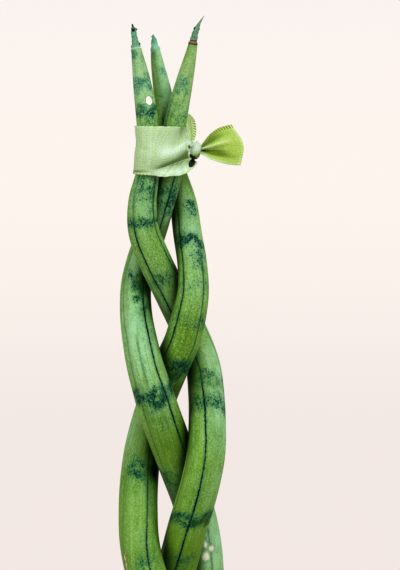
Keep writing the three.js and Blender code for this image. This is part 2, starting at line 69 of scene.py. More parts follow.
LEAVES = {
    "leaf_left": {
        "route": [
            (50, -18, -7), (120, -17, -10), (155, -13, -10), (180, -6.5, -8), (200, -0.5, -4),
            (218, 4.5, 1.5), (234, 8.5, 8), (248, 12.5, 13), (262, 16, 15.5), (276, 18.5, 14.5),
            (290, 19, 8), (305, 18.5, -4), (320, 16.5, -12.5), (334, 11.5, -14.5), (348, 5, -10.5),
            (362, -1.5, -3.5), (378, -9, 5), (395, -15, 10), (410, -15.5, 11), (424, -13, 10.5),
            (438, -11.8, 9.5), (450, -12.5, 8), (475, -16, 5), (492, -19.0, 3), (498, -20.0, 2.5),
            (502.5, -20.6, 2.1), (504.8, -21.1, 1.8),
        ],
        "girth": [
            (50, 11.3), (80, 11.7), (230, 10.9), (275, 10.6), (320, 9.8), (362, 9.1), (395, 8.4),
            (410, 7.6), (428, 6.1), (455, 5.9), (465, 5.5), (475, 4.7), (490, 2.9), (498, 1.8),
            (502.5, 1.3), (504.8, 0.5),
        ],
        "turn": [(50, 30), (200, 30), (250, 37), (315, 25), (355, 12), (400, 2), (437, -10), (505, -12)],
        "furrows": [
            (-38, 0.0, ((60, 1.0), (395, 1.0), (402, 0.35), (440, 0.3), (450, 0.0))),
            (54, 0.0, ((60, 0.5), (330, 0.5), (352, 0.8), (425, 0.8), (445, 0.2), (450, 0.0))),
            (108, 0.3, ((60, 0.4), (430, 0.4), (440, 0.0))),
            (180, 0.0, ((60, 0.6), (460, 0.6), (470, 0.0))),
            (250, 0.0, ((60, 0.5), (440, 0.5), (450, 0.0))),
        ],
        "bands": [
            (489.3, 4.2, 0.95, -35, 70), (487, 4.0, 0.42, 45, 60), (472.8, 4.8, 0.85, -10, ALL_ROUND),
            (458.2, 3.4, 0.85), (452.5, 3.5, 0.28, 40, 55), (417, 8.5, 0.62, 10, 70),
            (407, 4.0, 0.4, 40, 30), (399.9, 2.8, 0.75), (371.5, 3.6, 0.62, -6, 56),
            (309.5, 5.4, 0.78, -28, 30), (309, 6.0, 0.52), (296.8, 4.8, 0.76, -10, ALL_ROUND),
            (282.5, 5.0, 0.30, 25, 40), (267, 3.5, 0.22, 0, 40), (244.8, 4.3, 1.0, 0, ALL_ROUND, 0.045),
            (220.5, 5.0, 0.6, -30, 60), (196, 5.0, 0.7), (170, 6.0, 0.5, 90, ALL_ROUND), (146, 5.0, 0.75),
            (120, 7.0, 0.5, 20, ALL_ROUND),
        ],
        # bloom is pale mint and in part a painted highlight where the light falls
        "bloom": [
            (350, 40, 0.4), (410, 20, 0.62, 0, 80), (430, 14, 0.5), (318, 16, 0.95, 36, 64),
            (294, 20, 0.85, 26, 64), (262, 18, 0.35, 30, 60), (464, 17, 0.45),
        ],
        "ripe": [(372, 12, 0.8, -10, 50), (402, 4, 0.5, -50, 30), (226, 20, 0.9), (340, 8, 0.6, 0, 60)],
        "painted_shade": [(318, 16, 0.9, -78, 26, 0.1), (244.5, 4.0, 0.55, 10, 60, 0.045)],
        "scars": [(462.9, 38, 2.55, 2.15)],
        "tip": 492.2,
        "lumps": [
            (501.7, 95, 1.0, 0.7, 30, 1), (501.3, 10, 0.2, 1.0, 50, 0.9), (493.8, 80, 0.9, 0.7, 24, 1),
            (493.2, -85, 0.6, 0.8, 26, 0.6), (504.3, 0, 0.2, 0.9, 180, 1),
        ],
        "dry_hue": (0.155, 0.350, 0.230),
        "point_hue": (0.05, 0.10, 0.05),
        "ring_hue": (0.50, 0.74, 0.58),
        "ring": 0.45,
        "ring_browned": 0.0,
        "blackened": 0.8,
        "end_hue": (0.34, 0.52, 0.31),
        "speckled": 0.24,
        "hue": 0.35,
        "scar_hue": (0.88, 0.88, 0.80),
        "scar_edge_hue": (0.88, 0.88, 0.80),
        "scar_crumbled": 0.5,
        "scar_soft": 0.14,
        "scar_rim": 0.6,
        "seed": 3,
    },
    "leaf_right": {
        "route": [
            (50, 17, -7), (120, 17, -8.5), (170, 17.5, -16), (195, 17.5, -18.5), (220, 16, -18),
            (242, 11.5, -13), (262, 5, -5.5), (280, -1, 3), (295, -6, 10.5), (310, -10.5, 15),
            (322, -14, 14.5), (335, -17, 8.5), (350, -19.5, -2), (365, -19.5, -10), (378, -16.5, -12),
            (392, -11.5, -8.5), (408, -6.5, -2), (425, -1.5, 2.5), (450, 1.5, 4), (475, 7, 2.5),
            (490, 10.5, 1.5), (500, 12.6, 1), (502.8, 13.5, 0.8), (506, 15.2, 0.6), (509.3, 17.4, 0.5),
        ],
        "girth": [
            (50, 11.3), (80, 11.7), (250, 10.9), (300, 10.8), (322, 9.9), (350, 8.7), (410, 7.6),
            (430, 6.9), (460, 5.6), (480, 4), (494, 2.4), (502.5, 1.5), (506, 0.7), (509.3, 0.35),
        ],
        "turn": [(50, 0), (262, 3), (285, 8), (305, 12), (320, 9), (335, 9), (352, 5), (380, 2), (508, 0)],
        "furrows": [
            (-57, 0.1, ((60, 0.5), (330, 0.3), (460, 0.3), (475, 0.0))),
            (29, 0.0, ((60, 0.6), (225, 0.3), (245, 1.0), (372, 1.0), (384, 0.3), (400, 0.8), (430, 0.8),
                       (440, 0))),
            (-15, 0.0, ((310, 0.0), (316, 0.4), (332, 0.4), (336, 0.0))),
            (118, 0.2, ((60, 0.5), (450, 0.5), (460, 0.0))),
            (205, 0.0, ((60, 0.6), (450, 0.6), (460, 0.0))),
        ],
        "bands": [
            (493, 2.4, 0.55, 30, 90), (471.5, 6.5, 0.72, -5, 64), (459, 8.0, 0.30), (413.5, 9.0, 0.75),
            # the bands at 358.5 and 350 are the leaf's own dark bands, darkened further as painted shade
            # beside the crossing
            (367, 6.0, 0.58, -14, 38, -0.05), (358.5, 8.5, 0.86, 12, 32, -0.1), (350, 7.5, 0.76, 26, 22),
            (340, 16.0, 0.25, 20, 40), (308.3, 5.0, 1.0), (298, 6.0, 0.34, 0, 40),
            (262, 6.0, 0.7, 60, ALL_ROUND), (226, 7.0, 0.5, 10, 40), (198.5, 5.0, 0.6), (174, 5.0, 0.6),
            (152, 4.0, 0.75), (128, 6.0, 0.5),
        ],
        # bloom is pale mint and in part a painted highlight where the light falls
        "bloom": [
            (336, 27, 1.0, -10, 70), (375, 22, 0.75, -20, 60), (312, 12, 0.5, 20, 60), (408, 16, 0.6),
            (222, 26, 1.0), (470, 30, 0.3),
        ],
        "ripe": [(286, 14, 0.7), (396, 5, 0.7, 40, 50)],
        "painted_shade": [(357, 17, 1.0, 68, 28, 0.12), (380, 8, 0.8, 60, 40)],
        "scars": [
            (215.7, 13, 4.4, 3.6), (219.6, 32, 3.0, 2.6), (223.0, 15, 3.4, 1.8), (229.0, 17, 2.4, 1.8),
        ],
        "tip": 495.6,
        "lumps": [(502.6, 80, 0.5, 0.6, 30, 0.7), (502.0, -60, 0.4, 0.7, 40, 0.9)],
        "dry_hue": (0.15, 0.27, 0.17),
        "point_hue": (0.28, 0.33, 0.25),
        "ring_hue": (0.92, 0.58, 0.40),
        "ring": 1.0,
        "ring_browned": 1.0,
        "blackened": 0.75,
        "end_hue": (0.310, 0.420, 0.150),
        "speckled": 0.24,
        "hue": 0.75,
        "scar_hue": (0.78, 0.79, 0.62),
        "scar_edge_hue": (0.42, 0.52, 0.42),
        "scar_crumbled": 0.8,
        "scar_soft": 0.75,
        "scar_rim": 0.2,
        "seed": 11,
    },
    "leaf_middle": {
        "route": [
            (50, 0, 12.5), (120, 0, 13.5), (155, -0.5, 18), (178, -2, 20), (195, -7, 19.5),
            (210, -13.4, 16.5), (226, -17.5, 9), (242, -18.5, 0), (258, -18, -8.5), (274, -16, -14),
            (290, -12, -14), (305, -7, -9), (320, -1, -1.5), (335, 5.5, 6), (348, 9, 9.5),
            (362, 11.5, 10.5), (376, 11, 6), (392, 8.5, -4), (408, 6, -12.5), (424, 1, -14), (440, -2, -13),
            (465, -4.5, -10), (485, -8, -6.5), (499.5, -10, -4),
        ],
        "girth": [
            (50, 11.3), (80, 11.7), (250, 10.5), (275, 10.2), (330, 9.8), (348, 9.3), (362, 8.4),
            (395, 7.7), (420, 7.2), (438, 6.1), (450, 5.6), (465, 5.2), (480, 3.9), (490, 2.7), (496, 1.75),
            (499.5, 1.0),
        ],
        "turn": [
            (50, -30), (200, -30), (214, -25), (234, -14), (250, -14), (268, -20), (330, 0), (375, 0),
            (400, 9), (500, 12),
        ],
        "furrows": [
            (-40, 0.0, ((60, 0.9), (200, 0.4), (230, 0.1), (300, 0.1), (315, 0.95), (440, 0.95),
                        (450, 0.0))),
            (45, 0.2, ((60, 0.95), (255, 0.95), (285, 0.6), (300, 0.3), (340, 0.55), (374, 0.55),
                       (383, 0.0))),
            (130, 0.0, ((60, 0.5), (430, 0.5), (440, 0.0))),
            (222, 0.2, ((60, 0.6), (450, 0.6), (460, 0.0))),
            (-30, 0.0, ((442, 0.0), (446, 0.9), (454, 0.8), (461, 0.0))),
        ],
        "bands": [
            (490.7, 3.0, 0.8, -50, 50), (479.6, 3.2, 0.72, 45, 60), (469, 5.0, 0.32),
            (457, 9.0, 0.34, 20, 60), (403.2, 5.2, 0.85, 22, 36), (385.2, 4.2, 0.85, 0, ALL_ROUND, -0.045),
            (377, 6.0, 0.5, 30, 36), (364.5, 3.5, 0.2), (348, 4.0, 0.42),
            (323.2, 6.2, 1.0, 0, ALL_ROUND, 0.06), (259.5, 9.0, 0.85, 12, 50), (214, 5.5, 0.6, 34, 44),
            (190, 5.0, 0.75), (162, 5.0, 0.5), (138, 5.0, 0.8), (112, 5.0, 0.5),
        ],
        # bloom is pale mint and in part a painted highlight where the light falls
        "bloom": [
            (392, 22, 0.95, 20, 64), (366, 12, 0.5, 20, 60), (280, 16, 0.6, -50, 50),
            (240, 30, 0.2, 20, 60), (474, 28, 1.0, 32, 54), (463.5, 9, 0.9, -4, 30),
        ],
        "ripe": [(338, 14, 0.7, 10, 60), (310, 10, 0.7), (232, 22, 0.75, -45, 50), (470, 30, 1.0, -74, 54)],
        "painted_shade": [
            (262, 10, 1.0, 74, 42, 0.05), (404, 16, 0.9, -66, 26), (321, 3.5, 0.6, 10, 60, 0.06),
            (451.5, 6.5, 0.92, -4, 42), (466, 13, 0.3, -66, 32),
        ],
        "scars": [(219, -34, 2.0, 1.3), (215.6, -31, 1.9, 1.1), (212.4, -35, 2.4, 1.5)],
        "tip": 493.2,
        "lumps": [(498.6, -95, 1.1, 0.35, 14, 0.3), (492.6, 70, 0.3, 0.8, 40, 0.2)],
        "dry_hue": (0.21, 0.53, 0.39),
        "point_hue": (0.13, 0.33, 0.21),
        "ring_hue": (0.33, 0.66, 0.49),
        "ring": 1.8,
        "ring_browned": 0.0,
        "blackened": 0.25,
        "end_hue": (0.37, 0.61, 0.34),
        "speckled": 0.26,
        "hue": 0.15,
        "scar_hue": (0.72, 0.72, 0.62),
        "scar_edge_hue": (0.52, 0.30, 0.13),
        "scar_crumbled": 0.7,
        "scar_soft": 0.16,
        "scar_rim": 0.6,
        "seed": 23,
    },
}
LEAF_ROW = 1.1                             # height between two rows of points
LEAF_TIP_ROW = 0.5                         # and in the pointed end
LEAF_TIP_LENGTH = 36
LEAF_STEP_ANGLE = 3.75
FURROW_STEPS = (-7, -4.5, -2.6, -1.2, 0, 1.2, 2.6, 4.5, 7)
FURROW_CLEAR = 1.4                         # an even step this near to a furrow's own one is left out
WHOLE_FURROW = 100                         # a furrow that starts above this height has no flute
FLUTE_DEPTH, FLUTE_WIDTH = 0.045, 14.0     # the broad hollow that a furrow lies in: share, degrees
CREASE_DEPTH, CREASE_WIDTH = 0.024, 2.8    # and its sharp line
CREASE_PLAIN, CREASE_INKED = 0.3, 0.7      # what a whole furrow's line has of that depth, and what ink adds
FAR = 999.0                                # farther than any furrow is
WAVE_COUNT, WAVE_GAIN = 9, 1.8             # of soft_waves
WAVE_LOBES, WAVE_PITCHES = (1, 6), (0.02, 0.35)    # round the leaf, and along it in radians a millimetre
WAVE_PHASES = (0, 6.28)
SKIN_WAVE = 0.012                          # share of the radius
RAGGED_SHARE, RAGGED_MOST = 0.45, 2.4      # how far a band's edge strays: share of its half height, and most
BAND_EDGE, SOFT_EDGE = 2.6, 2              # how square a patch's outline is, as the power it falls by
BLOOM_RAGGED, PAINTED_SHADE_RAGGED = 0.4, 0.3       # how ragged those patches are, set against a band
FACING_AWAY, FACING_IT = -0.4, 0.8         # cosines between which a neighbour comes to hide the skin
HIDDEN_MOST, HIDDEN_LESS = 0.94, 0.84      # how dark the painted shade on hidden skin is in the braid, and what it loses above it
PARTING = (444, 459)                       # heights between which the leaves part above the ribbon
FRECKLE_LEAST = 0.10
FRECKLES_START, FRECKLES_FADE = (250, 400), (500, 440)
END_HUE_FROM = (448, 474)                  # heights where the end's own green sets in
DRY_FADE, DRY_STRAY = 0.6, 0.8             # the dry skin's edge: half its height, and how far it strays
SHRUNK, CRUMPLED = 0.15, 0.12              # how much narrower dry skin is, and its dents, as shares
LIP_SHARE, LIP_BELOW, LIP_HALF = 0.10, 0.9, 0.7    # the rim under the dry skin: share, place, half height
RING_BELOW, RING_STRAY = 0.6, 0.5          # how far the ring lies below the dry skin, and strays
POINT_FROM, POINT_FULL = 5, 1              # below the very end: where the point's colour starts and is full
CLOSING, CLOSED = 3, 0.35                  # the end rounds off over this length, to this share of its girth
PAST_END = 0.2                             # which it would have this far above the end


def read_table(table, heights):
    """Cubic Hermite curve through a table's rows; the slope at a row is its neighbours' mean slope,
    weighted by the gap on the far side."""
    rows = np.array(table, float)
    at, values = rows[:, 0], rows[:, 1:]
    gap = np.diff(at)
    slope = np.diff(values, axis=0) / gap[:, None]
    slopes = np.vstack([slope[:1], slope[:1].repeat(len(at) - 2, 0), slope[-1:]])
    weighted = slope[:-1] * gap[1:, None] + slope[1:] * gap[:-1, None]
    slopes[1:-1] = weighted / (gap[:-1] + gap[1:])[:, None]
    heights = np.clip(np.atleast_1d(heights), at[0], at[-1])
    low = np.clip(np.searchsorted(at, heights) - 1, 0, len(at) - 2)
    length = gap[low][:, None]
    s = ((heights - at[low]) / gap[low])[:, None]
    return ((2 * s**3 - 3 * s**2 + 1) * values[low] + (s**3 - 2 * s**2 + s) * length * slopes[low]
            + (3 * s**2 - 2 * s**3) * values[low + 1] + (s**3 - s**2) * length * slopes[low + 1])


def unit(vectors):
    """Each vector over its length."""
    return vectors / np.linalg.norm(vectors, axis=-1, keepdims=True)


def between(value, low, high):
    """Smoothstep: 0 at low, 1 at high, level at both ends."""
    share = np.clip((value - low) / (high - low), 0, 1)
    return share * share * (3 - 2 * share)


def hill(value, middle, half):
    """Bell curve of 1 at the middle that falls to 1/e at half."""
    return np.exp(-(((value - middle) / half) ** 2))


def degrees_apart(a, b):
    """The shorter way round from b to a."""
    return (a - b + 180) % 360 - 180


def leaf_centre(leaf, heights):
    """The leaf's centre line: its route's points, with the front towards -Y."""
    route = read_table(leaf["route"], heights)
    return np.column_stack([route[:, 0], -route[:, 1], heights])


def leaf_tangent(leaf, heights, step):
    """The centre line's direction: from a step below to a step above, and never quite nothing."""
    ahead, behind = leaf_centre(leaf, heights + step), leaf_centre(leaf, heights - step)
    return unit(ahead - behind + np.array([0, 0, 1e-3]))


def soft_waves(around, heights, seed, reach):
    """A sum of sine waves that close round the leaf, with seeded lobes, pitches and phases, about -1 to 1.
    Reach makes them quicker along the leaf."""
    draw = np.random.default_rng(seed)
    total = np.zeros(np.broadcast(around, heights).shape)
    for _ in range(WAVE_COUNT):
        lobes, pitch = draw.integers(*WAVE_LOBES), draw.uniform(*WAVE_PITCHES) * reach
        phase = draw.uniform(*WAVE_PHASES)
        total += np.sin(lobes * np.radians(around) + pitch * heights * draw.choice([-1, 1]) + phase)
    return total / WAVE_COUNT * WAVE_GAIN


def patches(around, heights, marks, ragged, edge):
    """The strongest patch at each point: strength x exp(-|height offset / half height|^edge
    - |angle offset / half width|^edge), with the height offset made ragged by soft waves."""
    field = np.zeros_like(ragged)
    for height, half, strength, *place in marks:
        angle, spread, lean = (*place, *LEFT_OUT[len(place):])
        apart = degrees_apart(around, angle)
        level = height + apart * lean
        rise = (heights - level + ragged * min(half * RAGGED_SHARE, RAGGED_MOST)) / half
        side = apart / spread
        field = np.maximum(field, strength * np.exp(-np.abs(rise)**edge - np.abs(side)**edge))
    return field


def hidden(points, outward, leaf):
    """How much the other leaves hide each point from the light, which the skin shows as painted shade: the
    square of a neighbour's radius over the distance to its centre line, times how squarely the surface faces
    it, and less where the leaves part. The nearest point of the centre line is found on the tangent at the
    same height."""
    total = np.zeros(points.shape[:-1]).ravel()
    heights = points[..., 2].ravel()
    for other in LEAVES.values():
        if other is leaf:
            continue
        tangent = leaf_tangent(other, heights, 1)
        away = leaf_centre(other, heights) - points.reshape(-1, 3)
        away -= tangent * (away * tangent).sum(1, keepdims=True)
        distance = np.linalg.norm(away, axis=1)
        facing = (away / distance[:, None] * outward.reshape(-1, 3)).sum(1)
        girth = read_table(other["girth"], heights)[:, 0] * (heights < other["route"][-1][0])
        total += np.minimum(girth / distance, 1) ** 2 * between(facing, FACING_AWAY, FACING_IT)
    total *= HIDDEN_MOST - HIDDEN_LESS * between(heights, *PARTING)
    return np.clip(total, 0, 1).reshape(points.shape[:-1])


def leaf_angles(leaf):
    """Even steps round the leaf, with closer ones in every furrow."""
    even = np.arange(0, 360, LEAF_STEP_ANGLE)
    close = np.concatenate([(furrow[0] + np.array(FURROW_STEPS)) % 360 for furrow in leaf["furrows"]])
    clear = np.abs(degrees_apart(even[:, None], close[None, :])).min(1) > FURROW_CLEAR
    return np.sort(np.concatenate([even[clear], close]))


def furrow_fields(leaf, rise, around, girth):
    """The distance to the nearest furrow, how dark and how brown that furrow is, and the share that all the
    furrows take off the radius: for each a broad bell curve, the flute, and a narrow one, the crease."""
    shape = np.broadcast(rise, around).shape
    offset = np.full(shape, FAR)
    ink, warm, hollow = np.zeros(shape), np.zeros(shape), np.zeros(shape)
    for angle, brown, line in leaf["furrows"]:
        apart = degrees_apart(around, angle)
        dark = np.interp(rise, *zip(*line))
        whole = line[0][0] < WHOLE_FURROW
        crease = CREASE_DEPTH * (CREASE_PLAIN * whole + CREASE_INKED * dark)
        hollow += FLUTE_DEPTH * whole * hill(apart, 0, FLUTE_WIDTH) + crease * hill(apart, 0, CREASE_WIDTH)
        distance = np.radians(apart) * girth
        nearer = np.abs(distance) < np.abs(offset)
        offset = np.where(nearer, distance, offset)
        ink = np.where(nearer, dark, ink)
        warm = np.where(nearer, brown, warm)
    return offset, ink, warm, hollow


def dry_fields(leaf, rise, around):
    """How dry the skin is, 1 above the tip line and 2 at the very end, and the share that this adds to the
    radius: less for the shrunk skin, with quick waves for its dents, and more for the lip under it."""
    line, end = leaf["tip"], leaf["route"][-1][0]
    straying = rise + DRY_STRAY * soft_waves(around, rise, leaf["seed"] + 5, reach=1)
    dryness = between(straying, line - DRY_FADE, line + DRY_FADE)
    dents = CRUMPLED * soft_waves(around, rise, leaf["seed"] + 7, reach=9) - SHRUNK
    lip = LIP_SHARE * hill(rise, line - LIP_BELOW, LIP_HALF)
    return dryness + between(rise, end - POINT_FROM, end - POINT_FULL), dryness * dents + lip


def with_lumps(leaf, rise, around, radius):
    """The radius with the lumps on it, each a bell curve both ways, and how black the blackest one is."""
    burnt = np.zeros_like(radius)
    for height, angle, reach, half, spread, black in leaf["lumps"]:
        lump = np.exp(-(((rise - height) / half) ** 2) - (degrees_apart(around, angle) / spread) ** 2)
        radius = radius + reach * lump
        burnt = np.maximum(burnt, black * lump)
    return radius, burnt


def scar_field(leaf, rise, around, girth):
    """How deep inside a scar's oval each point lies: 1 in its middle, 0 on its outline, and down to -1."""
    spots = np.full(np.broadcast(rise, around).shape, -1.0)
    for height, angle, half_height, half_width in leaf["scars"]:
        across = np.radians(degrees_apart(around, angle)) * girth / half_width
        spots = np.maximum(spots, 1 - np.hypot((rise - height) / half_height, across))
    return spots


def leaf_surface(leaf):
    """A leaf as rows of points: centre + radius x (cos a front + sin a right), where the radius is the girth
    less its furrows, with faint waves, rounded off at the end and changed there by dry skin and lumps. Gives
    the points, the named values that its material reads, and each point's place on the straightened leaf."""
    foot, end = leaf["route"][0][0], leaf["route"][-1][0]
    shoulder = end - LEAF_TIP_LENGTH
    lower = np.arange(foot, shoulder, LEAF_ROW)
    heights = np.concatenate([lower, np.arange(shoulder, end, LEAF_TIP_ROW), [end]])
    rise, around = heights[:, None], leaf_angles(leaf)[None, :]
    tangent = leaf_tangent(leaf, heights, 0.5)
    front = np.array([0.0, -1.0, 0.0])
    facing = unit(front - tangent * (tangent @ front)[:, None])
    sideways = np.cross(tangent, facing)
    girth = read_table(leaf["girth"], heights)

    offset, ink, warm, hollow = furrow_fields(leaf, rise, around, girth)
    dryness, shrivel = dry_fields(leaf, rise, around)
    waves = soft_waves(around, rise, leaf["seed"], reach=0.5)
    close = CLOSED + (1 - CLOSED) * between(rise, end + PAST_END, end - CLOSING)
    radius = girth * close * (1 - hollow + SKIN_WAVE * waves + shrivel)
    radius, burnt = with_lumps(leaf, rise, around, radius)

    own = np.radians(around)
    angle = own + np.radians(read_table(leaf["turn"], heights))
    outward = np.cos(angle)[..., None] * facing[:, None] + np.sin(angle)[..., None] * sideways[:, None]
    points = leaf_centre(leaf, heights)[:, None] + radius[..., None] * outward
    ragged = soft_waves(around, rise, leaf["seed"] + 1, reach=1.6)
    bloom_ragged = ragged * BLOOM_RAGGED
    # painted shade: patches in the folds, joined below with the shade of the other leaves
    painted_shade = patches(around, rise, leaf["painted_shade"], ragged * PAINTED_SHADE_RAGGED, SOFT_EDGE)
    freckled = leaf["speckled"] * between(rise, *FRECKLES_START) * between(rise, *FRECKLES_FADE)
    layers = {
        "furrow": offset,
        "ink": ink,
        "warm": warm,
        "band": patches(around, rise, leaf["bands"], ragged, BAND_EDGE),
        "bloom": patches(around, rise, leaf["bloom"], bloom_ragged, SOFT_EDGE),
        "ripe": patches(around, rise, leaf["ripe"], bloom_ragged, SOFT_EDGE),
        "painted_shade": np.maximum(painted_shade, hidden(points, outward, leaf)),
        "freckle": freckled + FRECKLE_LEAST,
        "end": between(rise, *END_HUE_FROM),
        "dry": dryness,
        "burnt": burnt,
        "ring": (rise - leaf["tip"] + RING_BELOW + RING_STRAY * waves) / leaf["ring"],
        "scar": scar_field(leaf, rise, around, girth),
    }
    layers = {key: np.broadcast_to(value, offset.shape) for key, value in layers.items()}
    straight = np.stack([girth * np.sin(own), girth * np.cos(own), rise + 0 * own], -1)
    return points * MM, layers, straight * MM


# ---- meshes ----

def lay_grid(rows, columns, start=0, round_it=False):
    """Corner numbers of the quads of a grid of points, row by row; round_it joins the last column to the
    first."""
    row = np.arange(rows - 1)[:, None] * columns
    column = np.arange(columns if round_it else columns - 1)[None, :]
    beside = (column + 1) % columns
    corners = (row + column, row + beside, row + columns + beside, row + columns + column)
    return np.stack(np.broadcast_arrays(*corners), -1).reshape(-1, 4) + start


def make_piece(name, points, faces, material, layers=None, places=None, uv=None, smooth=True):
    """A mesh object at the origin. faces is a list of corner arrays; layers are named values at the points,
    places are named vectors there, and uv is one pair for each point."""
    mesh = bpy.data.meshes.new(name)
    corners = [corner for block in faces for corner in block.tolist()]
    mesh.from_pydata(points.reshape(-1, 3), [], corners)
    for layer, values in (layers or {}).items():
        attribute = mesh.attributes.new(layer, "FLOAT", "POINT")
        attribute.data.foreach_set("value", np.asarray(values, np.float32).ravel())
    for layer, values in (places or {}).items():
        attribute = mesh.attributes.new(layer, "FLOAT_VECTOR", "POINT")
        attribute.data.foreach_set("vector", np.asarray(values, np.float32).ravel())
    if uv is not None:
        at = np.empty(len(mesh.loops), np.int32)
        mesh.loops.foreach_get("vertex_index", at)
        pairs = uv.reshape(-1, 2)[at].astype(np.float32)
        mesh.uv_layers.new(name="cloth").data.foreach_set("uv", pairs.ravel())
    mesh.polygons.foreach_set("use_smooth", np.full(len(mesh.polygons), smooth))
    mesh.update()
    mesh.materials.append(material)
    piece = bpy.data.objects.new(name, mesh)
    bpy.context.scene.collection.objects.link(piece)
    return piece


def capped_tube(points):
    """Quads round a tube and a fan of triangles over each end, with the two middle points added."""
    rows, columns = points.shape[:2]
    flat = np.vstack([points.reshape(-1, 3), points[0].mean(0), points[-1].mean(0)])
    side = np.arange(columns)
    beside = (side + 1) % columns
    top = (rows - 1) * columns
    foot_fan = np.column_stack([np.full(columns, len(flat) - 2), beside, side])
    tip_fan = np.column_stack([np.full(columns, len(flat) - 1), top + side, top + beside])
    return flat, [lay_grid(rows, columns, round_it=True), foot_fan, tip_fan]


def with_ends(values):
    """The values of a tube's rows, followed by those of its two middle points."""
    flat = values.reshape(-1, *values.shape[2:])
    return np.concatenate([flat, values[0].mean(0)[None], values[-1].mean(0)[None]])


# ---- writing materials ----

FLOAT, VECTOR = "NodeSocketFloat", "NodeSocketVector"


class Nodes:
    """A node tree being written. Each method adds a node and gives back its output."""

    def __init__(self, tree):
        self.tree = tree

    def put(self, socket, value):
        """Links an output to the socket, or sets a plain value on it."""
        if isinstance(value, bpy.types.NodeSocket):
            self.tree.links.new(value, socket)
        elif hasattr(value, "__len__") and socket.type == "RGBA":
            socket.default_value = (*value, 1)
        else:
            socket.default_value = value

    def add(self, kind, inputs=(), out=0, **settings):
        """One node, with its settings, and its inputs and its output by name or number."""
        node = self.tree.nodes.new(kind)
        for key, value in settings.items():
            setattr(node, key, value)
        for key, value in dict(inputs).items():
            self.put(node.inputs[key], value)
        return node.outputs[out]

    def attribute(self, name, out="Fac"):
        return self.add("ShaderNodeAttribute", out=out, attribute_name=name)

    def math(self, operation, *values, clamp=False):
        return self.add("ShaderNodeMath", enumerate(values), operation=operation, use_clamp=clamp)

    def times(self, a, b):
        return self.math("MULTIPLY", a, b)

    def plus(self, a, b, clamp=False):
        return self.math("ADD", a, b, clamp=clamp)

    def minus(self, a, b):
        return self.math("SUBTRACT", a, b)

    def parts(self, vector):
        """X, Y and Z by name."""
        return self.add("ShaderNodeSeparateXYZ", {0: vector}).node.outputs

    def stretch(self, vector, scale):
        return self.add("ShaderNodeMapping", {"Vector": vector, "Scale": scale})

    def noise(self, vector, scale, detail=3.0, roughness=0.55):
        return self.add("ShaderNodeTexNoise", {"Vector": vector, "Scale": scale, "Detail": detail,
                                               "Roughness": roughness})

    def ramp(self, value, low, high, start, end, kind="LINEAR"):
        """Start to end as value goes from low to high."""
        return self.add("ShaderNodeMapRange", {"Value": value, "From Min": low, "From Max": high,
                                               "To Min": start, "To Max": end}, interpolation_type=kind)

    def step(self, value, low, high, start=0.0, end=1.0):
        """The same, level at both ends."""
        return self.ramp(value, low, high, start, end, "SMOOTHSTEP")

    def mix(self, share, a, b):
        """Colour a, and colour b where share is 1."""
        return self.add("ShaderNodeMix", {0: share, 6: a, 7: b}, 2, data_type="RGBA")

    def bump(self, height, distance, strength=1.0):
        return self.add("ShaderNodeBump", {"Height": height, "Distance": distance, "Strength": strength})

    def group(self, tree, **inputs):
        """The outputs, by name, of a node group placed in this tree."""
        return self.add("ShaderNodeGroup", inputs, node_tree=tree).node.outputs


def effect(name, inputs, outputs, write):
    """A shader node group: write(nodes, given) returns its outputs by name."""
    tree = bpy.data.node_groups.new(name, "ShaderNodeTree")
    for label, kind in inputs.items():
        tree.interface.new_socket(label, in_out="INPUT", socket_type=kind)
    for label in outputs:
        tree.interface.new_socket(label, in_out="OUTPUT", socket_type=FLOAT)
    given = tree.nodes.new("NodeGroupInput").outputs
    made = write(Nodes(tree), given)
    end = tree.nodes.new("NodeGroupOutput")
    for label, socket in made.items():
        tree.links.new(socket, end.inputs[label])
    return tree


def new_material(name, **constants):
    """A Principled material: constants are set on the shader's own sockets."""
    material = bpy.data.materials.new(name)
    material.use_nodes = True
    shader = material.node_tree.nodes["Principled BSDF"]
    n = Nodes(material.node_tree)
    for label, value in constants.items():
        n.put(shader.inputs[label.replace("_", " ")], value)
    return material, n, shader


# ---- the leaves' skin ----

# scales of noise, in waves a metre
DRIFTS, SMALL_DRIFTS, GRAIN, CRUST = 70, 330, 1300, 700
MOTTLE_DRIFTS, DOTS, FINE_DOTS = 300, 1100, 2600
WIDE_FIBRES, THIN_FIBRES = 420, 1400
STRAYING, BREAKS = 1000, 160               # of a furrow's inked line

FRESH_GREEN = (0.210, 0.390, 0.050)
DEEP_GREEN = (0.100, 0.240, 0.016)
PALE_GREEN = (0.360, 0.585, 0.225)
MINT_BLOOM_AND_HIGHLIGHT = (0.385, 0.640, 0.400)
RIPE_GREEN = (0.150, 0.285, 0.008)
BAND_TEAL = (0.010, 0.170, 0.096)
BAND_DARK = (0.0012, 0.034, 0.014)
BAND_MIST = (0.115, 0.390, 0.270)
FURROW_TEAL = (0.001, 0.014, 0.010)
FURROW_BROWN = (0.060, 0.035, 0.015)
# painted shade: dark green, and near black where it is deepest
SHADE_GREEN = (0.030, 0.110, 0.005)
PAINTED_SHADE_BLACK = (0.0010, 0.009, 0.0005)
RING_BROWN = (0.060, 0.022, 0.013)
DRY_PALE = (0.30, 0.50, 0.38)
DRY_SHADE = (0.020, 0.075, 0.040)
DRY_BLACK = (0.008, 0.014, 0.008)
SKIN_BUMP = 0.00022                        # metres


